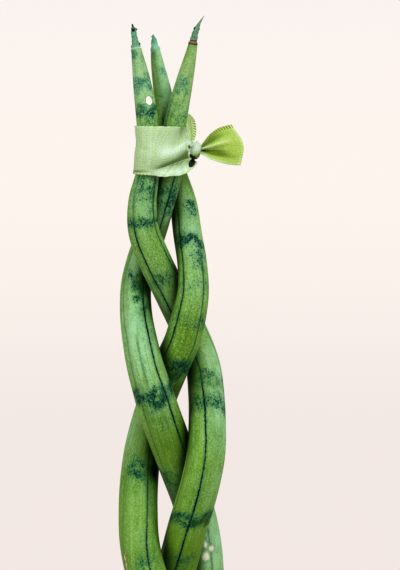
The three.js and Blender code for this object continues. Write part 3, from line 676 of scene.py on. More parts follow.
def write_mottle(n, given):
    """Marbled dots. Fine noise is cut at a level that falls as the strength grows: few dots show where it is
    weak, and they run together where it is strong. A slower noise makes the strength uneven."""
    place = n.stretch(given["Place"], (1, 1, 0.85))
    drift = n.noise(place, MOTTLE_DRIFTS, 3, 0.65)
    density = n.times(given["Strength"], n.step(drift, 0.32, 0.66, 0.6, 1.35))
    dots = n.times(n.noise(place, FINE_DOTS, 2, 0.7), 0.62)
    noise = n.plus(dots, n.times(n.noise(place, DOTS, 2, 0.6), 0.38))
    depth = n.minus(noise, n.ramp(density, 0.0, 1.2, 0.645, 0.44))
    return {"Mask": n.step(depth, -0.02, 0.03), "Deep": n.step(depth, 0.0, 0.09),
            "Tint": n.step(density, 0.15, 1.2)}


def write_streaks(n, given):
    """Long fibres: noise stretched along the leaf, in two widths."""
    thin = n.noise(n.stretch(given["Place"], (1, 1, 0.03)), THIN_FIBRES, 2, 0.5)
    wide = n.noise(n.stretch(given["Place"], (1, 1, 0.05)), WIDE_FIBRES, 2, 0.5)
    return {"Streak": n.plus(n.times(thin, 0.6), n.times(wide, 0.4))}


MOTTLE = effect("mottle", {"Place": VECTOR, "Strength": FLOAT}, ("Mask", "Deep", "Tint"), write_mottle)
STREAKS = effect("streaks", {"Place": VECTOR}, ("Streak",), write_streaks)


def paint_greens(n, leaf, skin):
    """Deep and fresh green in drifts, with pale places, the end's own green, ripe places and bloom, which is
    in part a painted highlight, and over them a tone of fibres and grain, which is fainter where the skin is
    ripe, bloomed or free of freckles."""
    small, ripe, bloom = skin["small"], n.attribute("ripe"), n.attribute("bloom")
    colour = n.mix(n.step(skin["drift"], 0.30, 0.62), DEEP_GREEN, FRESH_GREEN)
    colour = n.mix(n.times(n.step(small, 0.40, 0.75), 0.25 + 0.3 * leaf["hue"]), colour, PALE_GREEN)
    colour = n.mix(n.times(skin["end"], n.step(small, 0.30, 0.60, 0.45, 1.0)), colour, leaf["end_hue"])
    colour = n.mix(n.times(ripe, n.step(small, 0.25, 0.65, 0.6, 1.0)), colour, RIPE_GREEN)
    # bloom: pale mint, in part a painted highlight
    colour = n.mix(n.times(bloom, n.step(small, 0.28, 0.62, 0.55, 1.0)), colour, MINT_BLOOM_AND_HIGHLIGHT)
    lively = n.step(n.attribute("freckle"), 0.10, 0.30, 0.75, 1.0)
    lively = n.times(n.step(bloom, 0.2, 1.0, 1.0, 0.5), lively)
    lively = n.times(lively, n.step(ripe, 0.5, 0.95, 1.0, 0.5))
    colour = n.mix(n.times(n.step(skin["tone"], 0.50, 0.66), lively), colour, PALE_GREEN)
    return n.mix(n.times(n.step(skin["tone"], 0.50, 0.34), lively), colour, DEEP_GREEN)


def paint_bands(n, colour, skin, mottle):
    """Dark bands and freckles: a teal haze under them, paler at the leaf's end, and then the dots."""
    end, band = skin["end"], n.attribute("band")
    colour = n.mix(n.times(mottle["Tint"], 0.58), colour, n.mix(end, BAND_TEAL, BAND_MIST))
    strength = n.times(n.step(band, 0.0, 0.3, 0.75, 1.0), n.step(end, 0.0, 1.0, 1.0, 0.66))
    dots = n.mix(mottle["Deep"], BAND_TEAL, BAND_DARK)
    return n.mix(n.times(mottle["Mask"], strength), colour, dots)


def paint_furrows(n, colour, skin):
    """The furrows' lines: a soft teal one, and in its middle a thin inked one that strays and breaks."""
    distance = n.math("ABSOLUTE", n.attribute("furrow"))
    straying = n.times(n.minus(n.noise(skin["place"], STRAYING, 3, 0.7), 0.5), 1.9)
    line = n.step(n.plus(distance, straying), 0.62, 0.30)
    soft_line = n.step(distance, 1.9, 0.1, 0.0, 0.5)
    breaks = n.noise(n.stretch(skin["place"], (1, 1, 0.25)), BREAKS, 2)
    ink = n.times(n.attribute("ink"), n.step(breaks, 0.25, 0.55, 0.6, 1.0))
    colour = n.mix(n.times(soft_line, ink), colour, BAND_TEAL)
    return n.mix(n.times(line, ink), colour, n.mix(n.attribute("warm"), FURROW_TEAL, FURROW_BROWN))


def paint_dry_end(n, colour, leaf, skin):
    """Dry skin with pale chips and dark hollows, its own colour at the very point, burnt lumps, and round
    its foot a ring: a brown rim with a worn line in it."""
    crust = skin["crust"]
    dry_hue = n.mix(n.step(skin["grain"], 0.50, 0.66), leaf["dry_hue"], DRY_PALE)
    dry_hue = n.mix(n.step(crust, 0.44, 0.36, 0.0, leaf["blackened"]), dry_hue, DRY_SHADE)
    dry_hue = n.mix(n.step(skin["dry"], 1.0, 1.7, 0.0, 0.8), dry_hue, leaf["point_hue"])
    colour = n.mix(n.math("MINIMUM", skin["dry"], 0.95), colour, dry_hue)
    colour = n.mix(n.step(n.attribute("burnt"), 0.3, 0.7), colour, DRY_BLACK)
    ring = n.math("ABSOLUTE", n.plus(n.attribute("ring"), n.times(n.minus(crust, 0.5), 1.2)))
    rim_hue = n.mix(leaf["ring_browned"], leaf["ring_hue"], RING_BROWN)
    colour = n.mix(n.times(n.step(ring, 1.45, 1.1), 0.25 + 0.7 * leaf["ring_browned"]), colour, rim_hue)
    worn = n.step(skin["small"], 0.42, 0.55, 0.25, 0.9)
    return n.mix(n.times(n.step(ring, 0.75, 0.45), worn), colour, leaf["ring_hue"])


def leaf_material(name, leaf):
    """Waxy green skin: its greens, dark bands, furrows and dry end, then painted shade where the other
    leaves hide it and in its folds, and last the scabs, whose outline is the scar's oval made ragged by the
    crust."""
    material, n, shader = new_material(name, Specular_IOR_Level=0.12)
    place = n.attribute("straight", "Vector")
    skin = {
        "place": place,
        "drift": n.noise(n.stretch(place, (1, 1, 0.35)), DRIFTS, 3, 0.5),
        "small": n.noise(n.stretch(place, (1, 1, 0.55)), SMALL_DRIFTS, 3, 0.6),
        "grain": n.noise(place, GRAIN, 2, 0.6),
        "crust": n.noise(place, CRUST, 4, 0.7),
        "end": n.attribute("end"),
        "dry": n.attribute("dry"),
    }
    streak = n.group(STREAKS, Place=place)["Streak"]
    skin["tone"] = n.plus(n.times(streak, 0.35), n.times(skin["grain"], 0.65))
    freckled = n.times(n.attribute("freckle"), n.step(skin["drift"], 0.36, 0.70, 0.25, 1.0))
    mottle = n.group(MOTTLE, Place=place, Strength=n.plus(n.attribute("band"), freckled))

    colour = paint_greens(n, leaf, skin)
    colour = paint_bands(n, colour, skin, mottle)
    colour = paint_furrows(n, colour, skin)
    colour = paint_dry_end(n, colour, leaf, skin)
    painted_shade = n.attribute("painted_shade")
    # painted shade where the other leaves hide the skin and in the folds: dark green, then near black
    colour = n.mix(n.step(painted_shade, 0.14, 0.68, 0.0, 0.80), colour, SHADE_GREEN)
    colour = n.mix(n.step(painted_shade, 0.45, 0.92, 0.0, 0.96), colour, PAINTED_SHADE_BLACK)
    ragged = n.times(n.minus(skin["crust"], 0.5), leaf["scar_crumbled"])
    inside = n.plus(n.attribute("scar"), ragged)
    colour = n.mix(n.step(inside, -0.16, -0.02, 0.0, leaf["scar_rim"]), colour, DEEP_GREEN)
    raised = n.step(n.plus(inside, n.times(skin["grain"], 1.2)), 0.75, 1.30)
    scab = n.step(inside, 0.02, leaf["scar_soft"])
    colour = n.mix(scab, colour, n.mix(raised, leaf["scar_edge_hue"], leaf["scar_hue"]))
    n.put(shader.inputs["Base Color"], colour)

    rough = n.times(n.math("MAXIMUM", skin["dry"], scab), 0.3)
    n.put(shader.inputs["Roughness"], n.plus(n.step(skin["tone"], 0.3, 0.7, 0.40, 0.52), rough))
    height = n.plus(n.times(skin["tone"], 0.4), n.times(skin["crust"], n.plus(0.10, skin["dry"])))
    height = n.plus(height, n.times(mottle["Mask"], -0.12))
    n.put(shader.inputs["Normal"], n.bump(height, SKIN_BUMP))
    return material


def make_leaf(node, material_name):
    """One leaf: its surface closed at both ends, in its own skin."""
    points, layers, straight = leaf_surface(LEAVES[node])
    flat, faces = capped_tube(points)
    piece = make_piece(
        node + "_grown", flat, faces, leaf_material(material_name, LEAVES[node]),
        layers={key: with_ends(values) for key, values in layers.items()},
        places={"straight": with_ends(straight)},
    )
    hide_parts(node)
    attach(piece, "root")


# ---- the ribbon ----

RIBBON = {
    "width": 25,
    "length": 290,
    "cloth": 0.35,               # thickness
    "middle": 437.0,             # the height at which the way round is measured
    "inner_gap": 0.55,           # from the leaves to the first turn's middle
    "outer_gap": 1.15,           # and to the second turn's
    "inner_start": 40,           # where each turn starts along the ribbon
    "outer_start": 160,
    "inner_top": (447.0, 5.0, 16, 1),      # the upper edge: height, drop, and distances where it drops
    "outer_top": (450.4, 0.6, 34, 4),
    "fold_fall": 5.2,            # how fast the second turn's fold falls back above its crest
    "fold_power": 1.4,           # and how it runs back in below
    "fold_held": (0.75, -0.5, 3.2),        # the share held out at the knot, where, and its half length
    "creases": (0.22, 11, 0.7, 20, 4),     # depth, waves a radian, phase, and distances where they set in
    "creases_from": (437.5, 2.5),          # the height they fan out from, and how far behind the knot
    "knot_direction": -14,       # degrees from the right, towards the back
    "sharpness": 1.3,            # how closely the cloth follows the leaves at its bends, per millimetre
    "along": 400,                # points of each turn
    "across": 48,
    "outlines": 40,              # heights at which the way round the leaves is worked out
    "tooth": 1.5,                # pitch of the edge loops
    "tooth_reach": 0.22,
    "tooth_edge": 0.04,          # the share of the width that they move
    # these start with the distance from the knot, along the front where it is positive.
    # the second turn: the height of its lower edge, and of its fold, how far that stands out and how
    # deep the painted shade under it is
    "outer_low": [
        (-60, 426.3), (-24, 426.4), (-16, 426.7), (-8, 428), (0, 432.6), (3.8, 431.7), (5.7, 430.6),
        (7.6, 429.3), (9.5, 428.2), (11.3, 427.6), (13.2, 427.1), (17, 426.6), (22, 426.6), (28, 426.8),
        (36, 426.4), (60, 426.2),
    ],
    "crest": [
        (-60, 438), (-14, 438), (-6, 439), (0, 440.6), (4, 438.6), (5.7, 437.2), (7.6, 435.6), (9.5, 434.4),
        (12, 433.6), (15, 433.2), (21, 433.6), (28, 435.2), (36, 438), (46, 441), (60, 441),
    ],
    "crest_reach": [
        (-60, 0), (-18, 0), (-13, 0), (-9, 0.1), (-3, 1.6), (0, 2.6), (4, 3.5), (9, 3.4), (15, 2.9),
        (21, 2.1), (28, 1.3), (36, 0.7), (46, 0.2), (60, 0),
    ],
    "shade": [
        (-60, 0), (-14, 0), (-9, 0), (-4, 0.3), (-1, 1), (3, 1), (7.6, 1), (9.5, 0.85), (11.3, 0.65),
        (14, 0.4), (17, 0.2), (22, 0.05), (60, 0),
    ],
    # the first turn: the height of its lower edge and how far its lip stands out
    "inner_low": [
        (-60, 425.9), (-24, 425.9), (-16, 426.1), (-7, 428.2), (-2, 430.2), (0, 430.4), (1.9, 427.6),
        (3.8, 424.8), (5.7, 423.7), (7.6, 423.7), (9.5, 423.9), (13, 424.2), (20, 424.4), (24.6, 424.8),
        (28.4, 425.1), (34, 425.6), (60, 425.8),
    ],
    "lip_reach": [
        (-60, 0), (-20, 0), (-14, 0.1), (-7, 1.2), (-3, 4.2), (0, 7.0), (1.9, 6.0), (3.8, 4.6), (8, 3.1),
        (14, 2.3), (20, 1.7), (27, 1.0), (34, 0.5), (42, 0), (60, 0),
    ],
    # the hole under the knot, in the first turn; what lies inside it moves along push, times depth, and it
    # is painted near black as its shade
    "hole": {
        "right": 11.15, "up": 430.8, "half_width": 1.85, "half_height": 2.5, "slant": 0.32, "depth": 2.2,
        "push": (-0.25, 0.95, 0.0),
    },
}
# spots on the turns, bell curves both ways: strength, distance from the knot and half length, height and
# half height, except where a line says otherwise. dip dents the cloth, pinch dents it and is painted dark,
# and the others are painted light and painted shade.
SPOTS = {
    "dip": (0.9, 7, 5, 446.5, 3.2),
    "front_light": (0.35, 16, 5, 440, 7),
    "crease_shade": (0.35, 23, 5, 438, 2.2),
    "crest_light": (0.75, 9, 9, 1.5, 0.45),        # by the climb for the height
    "pinch": (1, 9.4, 0.5, 439.2, 0.95),           # by the place to the right for the distance
    "hole_shade": (1.1, -1.5, 0.6, 0.6, 1.8),      # by half widths and millimetres from the hole's middle
}
# ramps on the ribbon: strength, and for each value that it goes by, where it starts and where it is whole.
# The two flares shape the cloth and hole_front marks the hole; the others are painted light and painted
# shade.
RAMPS = {
    "over_dip": (0.55, (3.0, 5.5)),                # painted shade over the dip: height above the crest
    "seam_highlight": (1, (8.2, 8.7), (433.4, 434.4), (443.2, 441.8)),    # painted highlight on the seam: place to the right, height, height
    "hem_highlight": (1, (0.040, 0.022), (10, 5)),           # painted highlight on the hem: share of the width, distance from the knot
    "wide_flare": (0.6, (9, 0), (-6, -1)),         # height above the lower edge, distance from the knot
    "low_flare": (0.4, (4, 0)),                    # height above the lower edge
    "lip_light": (0.72, (5.2, 2.4), (26, 16)),     # painted light on the lip: height above the lower edge, distance from the knot
    "lip_shade": (0.5, (4.2, 6.2)),                # painted shade above the lip: height above the lower edge
    "fold_shade": (0.8, (7, 13)),                  # painted shade under the second turn's fold: distance from the knot
    "hole_front": (1, (-4.0, -5.5), (9, 7)),       # place to the back, distance from the knot
    "under_knot": (1, (433.0, 433.8), (10.0, 11.2)),    # painted near black under the knot: height, place to the right
    "cut_light": (0.8, (0.90, 0.97)),              # painted light at a tail's cut end: share of its length
    "underside": (1.75, (0.35, -0.75)),            # painted shade under the knot, by its level: 1 on top and -1 underneath
    "grooves": (0.35, (0.35, 0.0)),                # painted shade in the knot's grooves, by how far its fold stands out
    "meeting_shade_below": (1, (-0.66, -0.92)),             # painted shade where the knot meets the band, by its level on the knot
    "meeting_shade_beside": (1, (-0.25, -0.6)),             # painted shade where the knot meets the band, by its level on the knot
}
CREST_SHADE_FROM, CREST_SHADE_FULL = 1.12, 0.15    # climbs of the painted shade under the crest: 0 is the lower edge and 1 the crest
FULL_SOONER, SOONER_AT = 0.2, (7, 4)       # what the second gains by the knot, and distances from it
OVER_DIP = (4.6, 3.6)                      # painted shade over the dip: distance from the knot and half length
CREASE_SLOPE, CREASE_LEVEL = 0.5, 22       # how fast the crease's painted shade climbs, and the distance where it is level
SEAM_LEAN, SEAM_LEVEL = 0.06, 440          # how far the seam of painted highlight leans, and from which height
BY_KNOT = (-6, -4)                         # distances where the seam and the pinch set in
# how deep the pinch dents the cloth, and how much painted shade it gets
PINCH_DEPTH, PINCH_DARK = 0.8, 4.5
UNDER_FOLD = (-0.4, 0.8)                   # height above the second turn's lower edge, and half height
HOLE_EDGE, HOLE_DARK = (1.12, 0.88), 3     # of its size, and how dark the painted shade inside it is
# slant: how far round its folds of cloth run on the way down, from start. fold: how far they stand out, as a
#     share, fold_power: how flat they are, and shrunk: what the whole girth loses for them.
# open_end: the share of its way down left out at each end. bluntness: the power of its profile's sine.
#     taper: how much narrower it is on top. lean: how much higher it is for each millimetre to the right.
#     sway: the height of its two waves round.
# light_lean, meeting_shade_lean: what a millimetre to the right adds to its level, which is 1 on top and -1
#     underneath, for its painted light and for the painted shade where it meets the band.
#     meeting_shade_side:
#     where that painted shade lies on the left, and half its width. meeting_shade: how dark it is.
# weave: millimetres of ribbon for each radian round and for the way down, and the share of the width that is
#     left over at each edge.
KNOT = {
    "at": (12.6, -5.2, 437.3), "radii": (2.95, 3.3, 4.3), "rows": 44, "columns": 96,
    "slant": 4.2, "start": 0.6, "fold": 0.11, "fold_power": 0.7, "shrunk": 0.06,
    "open_end": 0.02, "bluntness": 0.55, "taper": 0.03, "lean": 0.35, "sway": 0.3,
    "light_lean": -0.05, "meeting_shade_lean": 0.20, "meeting_shade_side": (-2.7, 0.7), "meeting_shade": 1.6,
    "weave": (3.4, 8, 0.08),
}
TAIL_ROWS, TAIL_COLUMNS = 52, 64
FOLD_RISES, FOLD_SINKS = (0.0, 0.12), 0.35     # shares of the tail's length, and of the fold's reach
SHADE_AT_KNOT, SHADE_RISES = 0.4, (0, 0.1)     # of a fold's painted shade, and shares of the tail's length
SHADE_GONE, SHADE_FULL = 1.3, 0.5              # shares of the fold's reach
PINCHED_ALONG, PINCHED_ACROSS = (0.09, 0.06), (0.66, 0.10)     # where the pinch's painted shade lies, and half its size, as shares
CURLED, CURLED_LESS = (0.85, 0.89), 0.7    # shares of the width where the cloth is doubled, less at the end
THIN_FROM = (0.0, 0.25)                    # shares of the tail's length between which it turns sheer
DARKEST = 2                      # of the painted shading: the painted black inside a hole

# edges: the upper edge, the middle and the lower edge, each from the knot to the cut end, as x, y and z.
# folds: place across (0 is the upper edge) at the knot and at the end, half width, height towards the front,
#     where along the tail it dies out, and how deep its painted shade is.
# length: along the ribbon. shown: the share of its width that isn't curled away. glow: how much painted
# glow,
#     for light coming through, its folds get. pinch_shade: how dark the painted shade is where the knot
#     pinches the cloth.
TAILS = {
    "right": {
        "edges": (
            ((14.8, -5.2, 438.9), (17.3, -5.4, 442.3), (20.8, -5.4, 446.4), (25.6, -5.0, 449.5),
             (31.9, -4.4, 451.2)),
            ((15.2, -5.8, 437.9), (21.0, -6.4, 438.6), (27.5, -6.6, 439.7), (33.3, -6.0, 440.5),
             (38.3, -5.0, 440.6)),
            ((14.8, -5.2, 436.6), (18.2, -5.6, 434.5), (23.2, -5.4, 432.0), (29.6, -5.0, 430.1),
             (36.9, -4.2, 429.3)),
        ),
        "folds": (
            (0.15, 0.16, 0.13, -1.6, 0.75, 0.8), (0.40, 0.34, 0.09, 1.5, 0.85, -0.9),
            (0.72, 0.70, 0.12, -1.5, 0.62, 1.0), (0.56, 0.50, 0.07, -0.6, 0.9, 0.2),
            (1.0, 1.0, 0.08, 2.0, 0.95, -0.55), (0.80, 0.80, 0.08, 0.0, 1.0, 0.55),
        ),
        "length": 26,
        "shown": 0.91,
        "glow": 0.0,
        "pinch_shade": 2.2,
    },
    "back": {
        "edges": (
            ((10.4, -1.0, 440.0), (12.5, 1.0, 444.6), (13.0, 2.2, 449.2), (12.1, 3.0, 453.8),
             (9.6, 3.6, 456.8)),
            ((10.0, 0.0, 440.6), (8.8, 3.0, 446.0), (7.4, 4.3, 451.0), (6.0, 4.7, 455.0),
             (4.4, 4.8, 458.2)),
            ((9.4, 0.8, 440.8), (6.2, 3.6, 445.0), (2.8, 4.6, 449.0), (0.0, 4.7, 452.2),
             (-2.4, 4.6, 455.4)),
        ),
        "folds": (
            (0.14, 0.12, 0.10, 0.3, 1.0, -0.5), (0.34, 0.36, 0.12, -0.5, 1.0, 0.2),
            (0.5, 0.5, 0.9, 0.0, 2.5, -2.2),
        ),
        "length": 20,
        "shown": 0.6,
        "glow": 1.0,
        "pinch_shade": 0.0,
    },
}


def ribbon_table(name, distance):
    """One of RIBBON's tables, read at each distance from the knot."""
    return read_table(RIBBON[name], distance)[:, 0]


def spot(name, s, height):
    """One of SPOTS: its strength times a bell curve both ways."""
    strength, along, half_length, up, half_height = SPOTS[name]
    return strength * hill(s, along, half_length) * hill(height, up, half_height)


def ramp(name, *values):
    """One of RAMPS: its strength times a smoothstep of each value."""
    whole, *spans = RAMPS[name]
    for value, span in zip(values, spans):
        whole = whole * between(value, *span)
    return whole


def tied_outline(heights, directions):
    """A string drawn tight round the leaves: the soft maximum of (centre . n + radius) over the leaves is
    the outline's distance h in direction n, and its point there is h n + h' t. Rows are heights."""
    n = np.stack([np.cos(directions), np.sin(directions)], -1)
    t = np.stack([-np.sin(directions), np.cos(directions)], -1)
    sharp = RIBBON["sharpness"]
    reach, sway = [], []
    for leaf in LEAVES.values():
        centre = leaf_centre(leaf, heights)[:, :2]
        reach.append(centre @ n.T + read_table(leaf["girth"], heights))
        sway.append(centre @ t.T)
    reach, sway = np.stack(reach), np.stack(sway)
    top = reach.max(0)
    weight = np.exp(sharp * (reach - top))
    h = top + np.log(weight.sum(0)) / sharp
    slope = (weight * sway).sum(0) / weight.sum(0)
    return h[..., None] * n + slope[..., None] * t


def wrap(turn):
    """One turn, from the knot over the front first: the tied outline at each height, a gap outside it, from
    the lower edge's table to the upper edge, which is level and drops near the knot. Gives points, outward
    directions, distances from the knot, the lower edge, shares of the way up, and lengths along the turn."""
    half_degrees = np.linspace(0, 360, 721)
    dense = np.radians(RIBBON["knot_direction"] - half_degrees)
    middle = tied_outline(np.array([RIBBON["middle"]]), dense)[0]
    length = np.concatenate([[0], np.cumsum(np.linalg.norm(np.diff(middle, axis=0), axis=1))])
    columns = np.linspace(0, 1, RIBBON["along"])
    way = columns * length[-1]
    direction = np.interp(way, length, dense)
    from_knot = np.minimum(way, length[-1] - way)
    signed = np.where(way < length[-1] / 2, from_knot, -from_knot)
    top, drop, far, near = RIBBON[turn + "_top"]
    low, high = ribbon_table(turn + "_low", signed), top - drop * between(from_knot, far, near)
    share = np.linspace(0, 1, RIBBON["across"])[:, None]
    heights = low + (high - low) * share
    levels = np.linspace(heights.min(), heights.max(), RIBBON["outlines"])
    rings = tied_outline(levels, direction)
    at = (heights - levels[0]) / (levels[1] - levels[0])
    floor = np.clip(at.astype(int), 0, len(levels) - 2)
    part = (at - floor)[..., None]
    column = np.arange(len(columns))[None, :]
    flat = rings[floor, column] * (1 - part) + rings[floor + 1, column] * part
    outward = np.stack([np.cos(direction), np.sin(direction), 0 * direction], -1)[None]
    points = np.concatenate([flat, heights[..., None]], -1) + RIBBON[turn + "_gap"] * outward
    return points, outward, signed, low, share, way


def cloth_uv(way, share, start):
    """Millimetres along the ribbon from its own start, and the share of its width."""
    u = (start + way)[None, :] + 0 * share
    return np.stack([u, share + 0 * u], -1)


def waist(s, height):
    """Both turns are drawn in a little halfway up and stand out a little below that, on the left."""
    return (0.5 * hill(height, 427, 4) - 1.2 * hill(height, 439, 5.5)) * hill(s, 42, 12)


def outer_turn():
    """The second turn. Its lower edge climbs to the knot. A fold stands along the crest line: above it the
    cloth falls back as a bell curve, and below it the cloth runs straight in to the lower edge, so that it
    looks down. Fine creases fan out from the knot: a sine of the angle round it. Its colour carries painted
    shade under the crest, over the dip and along a crease, and painted light on the crest and the front. A
    narrow seam and the hem by the knot are painted highlight, and a small pinch beside the knot is dented
    and painted dark."""
    points, outward, s, low, share, way = wrap("outer")
    height = points[..., 2]
    crest = ribbon_table("crest", s)
    climb = (height - low) / (crest - low)
    above = hill(np.maximum(height - crest, 0), 0, RIBBON["fold_fall"])
    fallen = np.clip((crest - height) / (crest - low), 0, 1)
    held, held_at, held_half = RIBBON["fold_held"]
    below = 1 - (1 - held * hill(s, held_at, held_half)) * fallen ** RIBBON["fold_power"]
    fold = ribbon_table("crest_reach", s) * np.where(height > crest, above, below)
    depth, count, phase, far, near = RIBBON["creases"]
    level, behind = RIBBON["creases_from"]
    round_knot = np.arctan2(height - level, np.abs(s) + behind)
    creases = depth * np.sin(count * round_knot + phase) * between(np.abs(s), far, near)
    fold = fold + creases - spot("dip", s, height) + waist(s, height)

    # painted shading: shade under the crest, over the dip and along the crease, light on the crest and the
    # front
    full = CREST_SHADE_FULL + FULL_SOONER * between(s, *SOONER_AT)
    under_crest = between(climb, CREST_SHADE_FROM, full) * ribbon_table("shade", s)
    crest_light = spot("crest_light", s, climb)
    dip_shade = ramp("over_dip", height - crest) * hill(s, *OVER_DIP)
    front_light = spot("front_light", s, height)
    crease_shade = spot("crease_shade", s, height - CREASE_SLOPE * (s - CREASE_LEVEL))
    painted_shading = under_crest - crest_light + dip_shade - front_light + crease_shade
    points = points + outward * fold[..., None]
    right = points[..., 0] - SEAM_LEAN * (SEAM_LEVEL - height)
    by_knot = between(s, *BY_KNOT)
    seam_highlight = ramp("seam_highlight", right, height, height) * by_knot
    hem_highlight = np.maximum(ramp("hem_highlight", share, s), seam_highlight)
    painted_shading = np.clip(painted_shading, -1, 1) * (1 - hem_highlight) - hem_highlight
    pinch = spot("pinch", right, height) * by_knot
    points = points - outward * (PINCH_DEPTH * pinch)[..., None]
    painted_shading = np.minimum(painted_shading + PINCH_DARK * pinch, DARKEST)
    return points, cloth_uv(way, share, RIBBON["outer_start"]), way, painted_shading


def inner_turn():
    """The first turn: it lies lower, and from the front it shows as a lip that flares out at its lower edge.
    Under the knot it bulges, and an oval hole opens in it: points inside the oval are pushed back. The lip
    is painted light, with painted shade above it and under the second turn's fold, and the hole and the
    cloth under the knot are painted near black."""
    points, outward, s, low, share, way = wrap("inner")
    height = points[..., 2]
    above = height - low
    flare = ramp("wide_flare", above, s) + ramp("low_flare", above)
    points = points + outward * (ribbon_table("lip_reach", s) * flare + waist(s, height))[..., None]
    hole = RIBBON["hole"]
    up = height - hole["up"]
    across = (points[..., 0] - hole["right"] - hole["slant"] * up) / hole["half_width"]
    oval = np.hypot(across, up / hole["half_height"])
    in_front = ramp("hole_front", points[..., 1], s)
    inside = between(oval, *HOLE_EDGE) * in_front
    points = points + np.array(hole["push"]) * (hole["depth"] * inside)[..., None]

    light, shade = ramp("lip_light", above, s), ramp("lip_shade", above)
    fold_shade = ramp("fold_shade", s) * hill(height - ribbon_table("outer_low", s), *UNDER_FOLD)
    hole_shade = spot("hole_shade", across, up) * in_front
    painted_shading = shade - light + fold_shade + hole_shade
    under_knot = ramp("under_knot", height, points[..., 0]) * in_front
    painted_shading = np.clip(painted_shading, -1, 1) + HOLE_DARK * np.maximum(inside, under_knot)
    return points, cloth_uv(way, share, RIBBON["inner_start"]), way, np.minimum(painted_shading, DARKEST)


def toothed(points, share, way):
    """The woven edge's little loops: the outermost points move out and back along the ribbon."""
    moved = RIBBON["tooth_edge"]
    edge = between(share, moved, 0) + between(share, 1 - moved, 1)
    side = np.where(share < 0.5, -1.0, 1.0)
    wave = 0.5 + 0.5 * np.cos(2 * np.pi * way / RIBBON["tooth"])
    across = unit(points[-1] - points[0])[None]
    return points + across * (edge * side * wave * RIBBON["tooth_reach"])[..., None]


def tail_sheet(tail):
    """A sheet through three curves, smooth both ways, with folds: each is a bell curve across, whose middle
    runs straight from its place at the knot to its place at the end, and which fades along the tail. Each
    fold also carries painted shade, or painted light where its shade is below 0; the cut end gets painted
    light and the knot's pinch painted shade."""
    along = np.linspace(0, 1, TAIL_COLUMNS)
    stations = np.linspace(0, 1, len(tail["edges"][0]))
    tables = [[(at, *point) for at, point in zip(stations, edge)] for edge in tail["edges"]]
    upper, middle, lower = [read_table(table, along).ravel() for table in tables]
    sheet = [(0, *upper), (0.5, *middle), (1, *lower)]
    share, way = np.linspace(0, 1, TAIL_ROWS)[:, None], along[None, :]
    points = read_table(sheet, share[:, 0]).reshape(TAIL_ROWS, TAIL_COLUMNS, 3)
    lift, painted_shading = np.zeros((TAIL_ROWS, TAIL_COLUMNS)), np.zeros((TAIL_ROWS, TAIL_COLUMNS))
    for at_knot, at_end, half, height, reach, shade in tail["folds"]:
        bell = hill(share, at_knot + (at_end - at_knot) * way, half)
        lift += height * bell * (between(way, *FOLD_RISES) * between(way, reach, reach * FOLD_SINKS))
        whole = SHADE_AT_KNOT + (1 - SHADE_AT_KNOT) * between(way, *SHADE_RISES)
        painted_shading += shade * bell * whole * between(way, reach * SHADE_GONE, reach * SHADE_FULL)
    outward = unit(np.cross(np.gradient(points, axis=0), np.gradient(points, axis=1)))
    outward *= -np.sign(outward[..., 1:2])
    points = points + outward * lift[..., None]
    painted_shading = np.clip(painted_shading - ramp("cut_light", way), -1 - tail["glow"], 1)
    painted_shading = painted_shading + tail["pinch_shade"] * hill(way, *PINCHED_ALONG) * hill(share, *PINCHED_ACROSS)
    length = along * tail["length"]
    return points, cloth_uv(length, share * tail["shown"], 0), length, painted_shading


def knot_surface():
    """The knot: an egg whose girth is a power of a sine down its height, wrapped by two slanting folds of
    cloth. It is painted lightest on top and painted darkest as shade underneath, in its grooves and where it
    meets the band."""
    down = np.linspace(KNOT["open_end"], 1 - KNOT["open_end"], KNOT["rows"])[:, None]
    around = np.linspace(0, 2 * np.pi, KNOT["columns"], endpoint=False)[None, :]
    profile = np.sin(np.pi * down) ** KNOT["bluntness"] * (1 - KNOT["taper"] + KNOT["taper"] * down)
    ridge = np.abs(np.sin(around + KNOT["slant"] * down + KNOT["start"]))
    wraps = 1 + KNOT["fold"] * ridge ** KNOT["fold_power"] * np.sin(np.pi * down) - KNOT["shrunk"]
    right, front, tall = KNOT["radii"]
    x = right * profile * wraps * np.cos(around)
    y = front * profile * wraps * np.sin(around)
    level = np.cos(np.pi * down) + 0 * around
    z = tall * level + KNOT["sway"] * np.sin(2 * around) + KNOT["lean"] * x
    points = np.array(KNOT["at"]) + np.stack([x, y, z], -1)
    painted_shading = ramp("underside", level + KNOT["light_lean"] * x) - 1
    painted_shading = painted_shading + ramp("grooves", ridge) * np.sin(np.pi * down) ** 2
    beside = hill(x, *KNOT["meeting_shade_side"]) * ramp("meeting_shade_beside", level)
    meeting_shade = ramp("meeting_shade_below", level + KNOT["meeting_shade_lean"] * x) + beside
    per_radian, per_height, left = KNOT["weave"]
    uv = np.stack([per_radian * around + per_height * down, left + (1 - 2 * left) * down + 0 * around], -1)
    return points, uv, painted_shading + KNOT["meeting_shade"] * meeting_shade


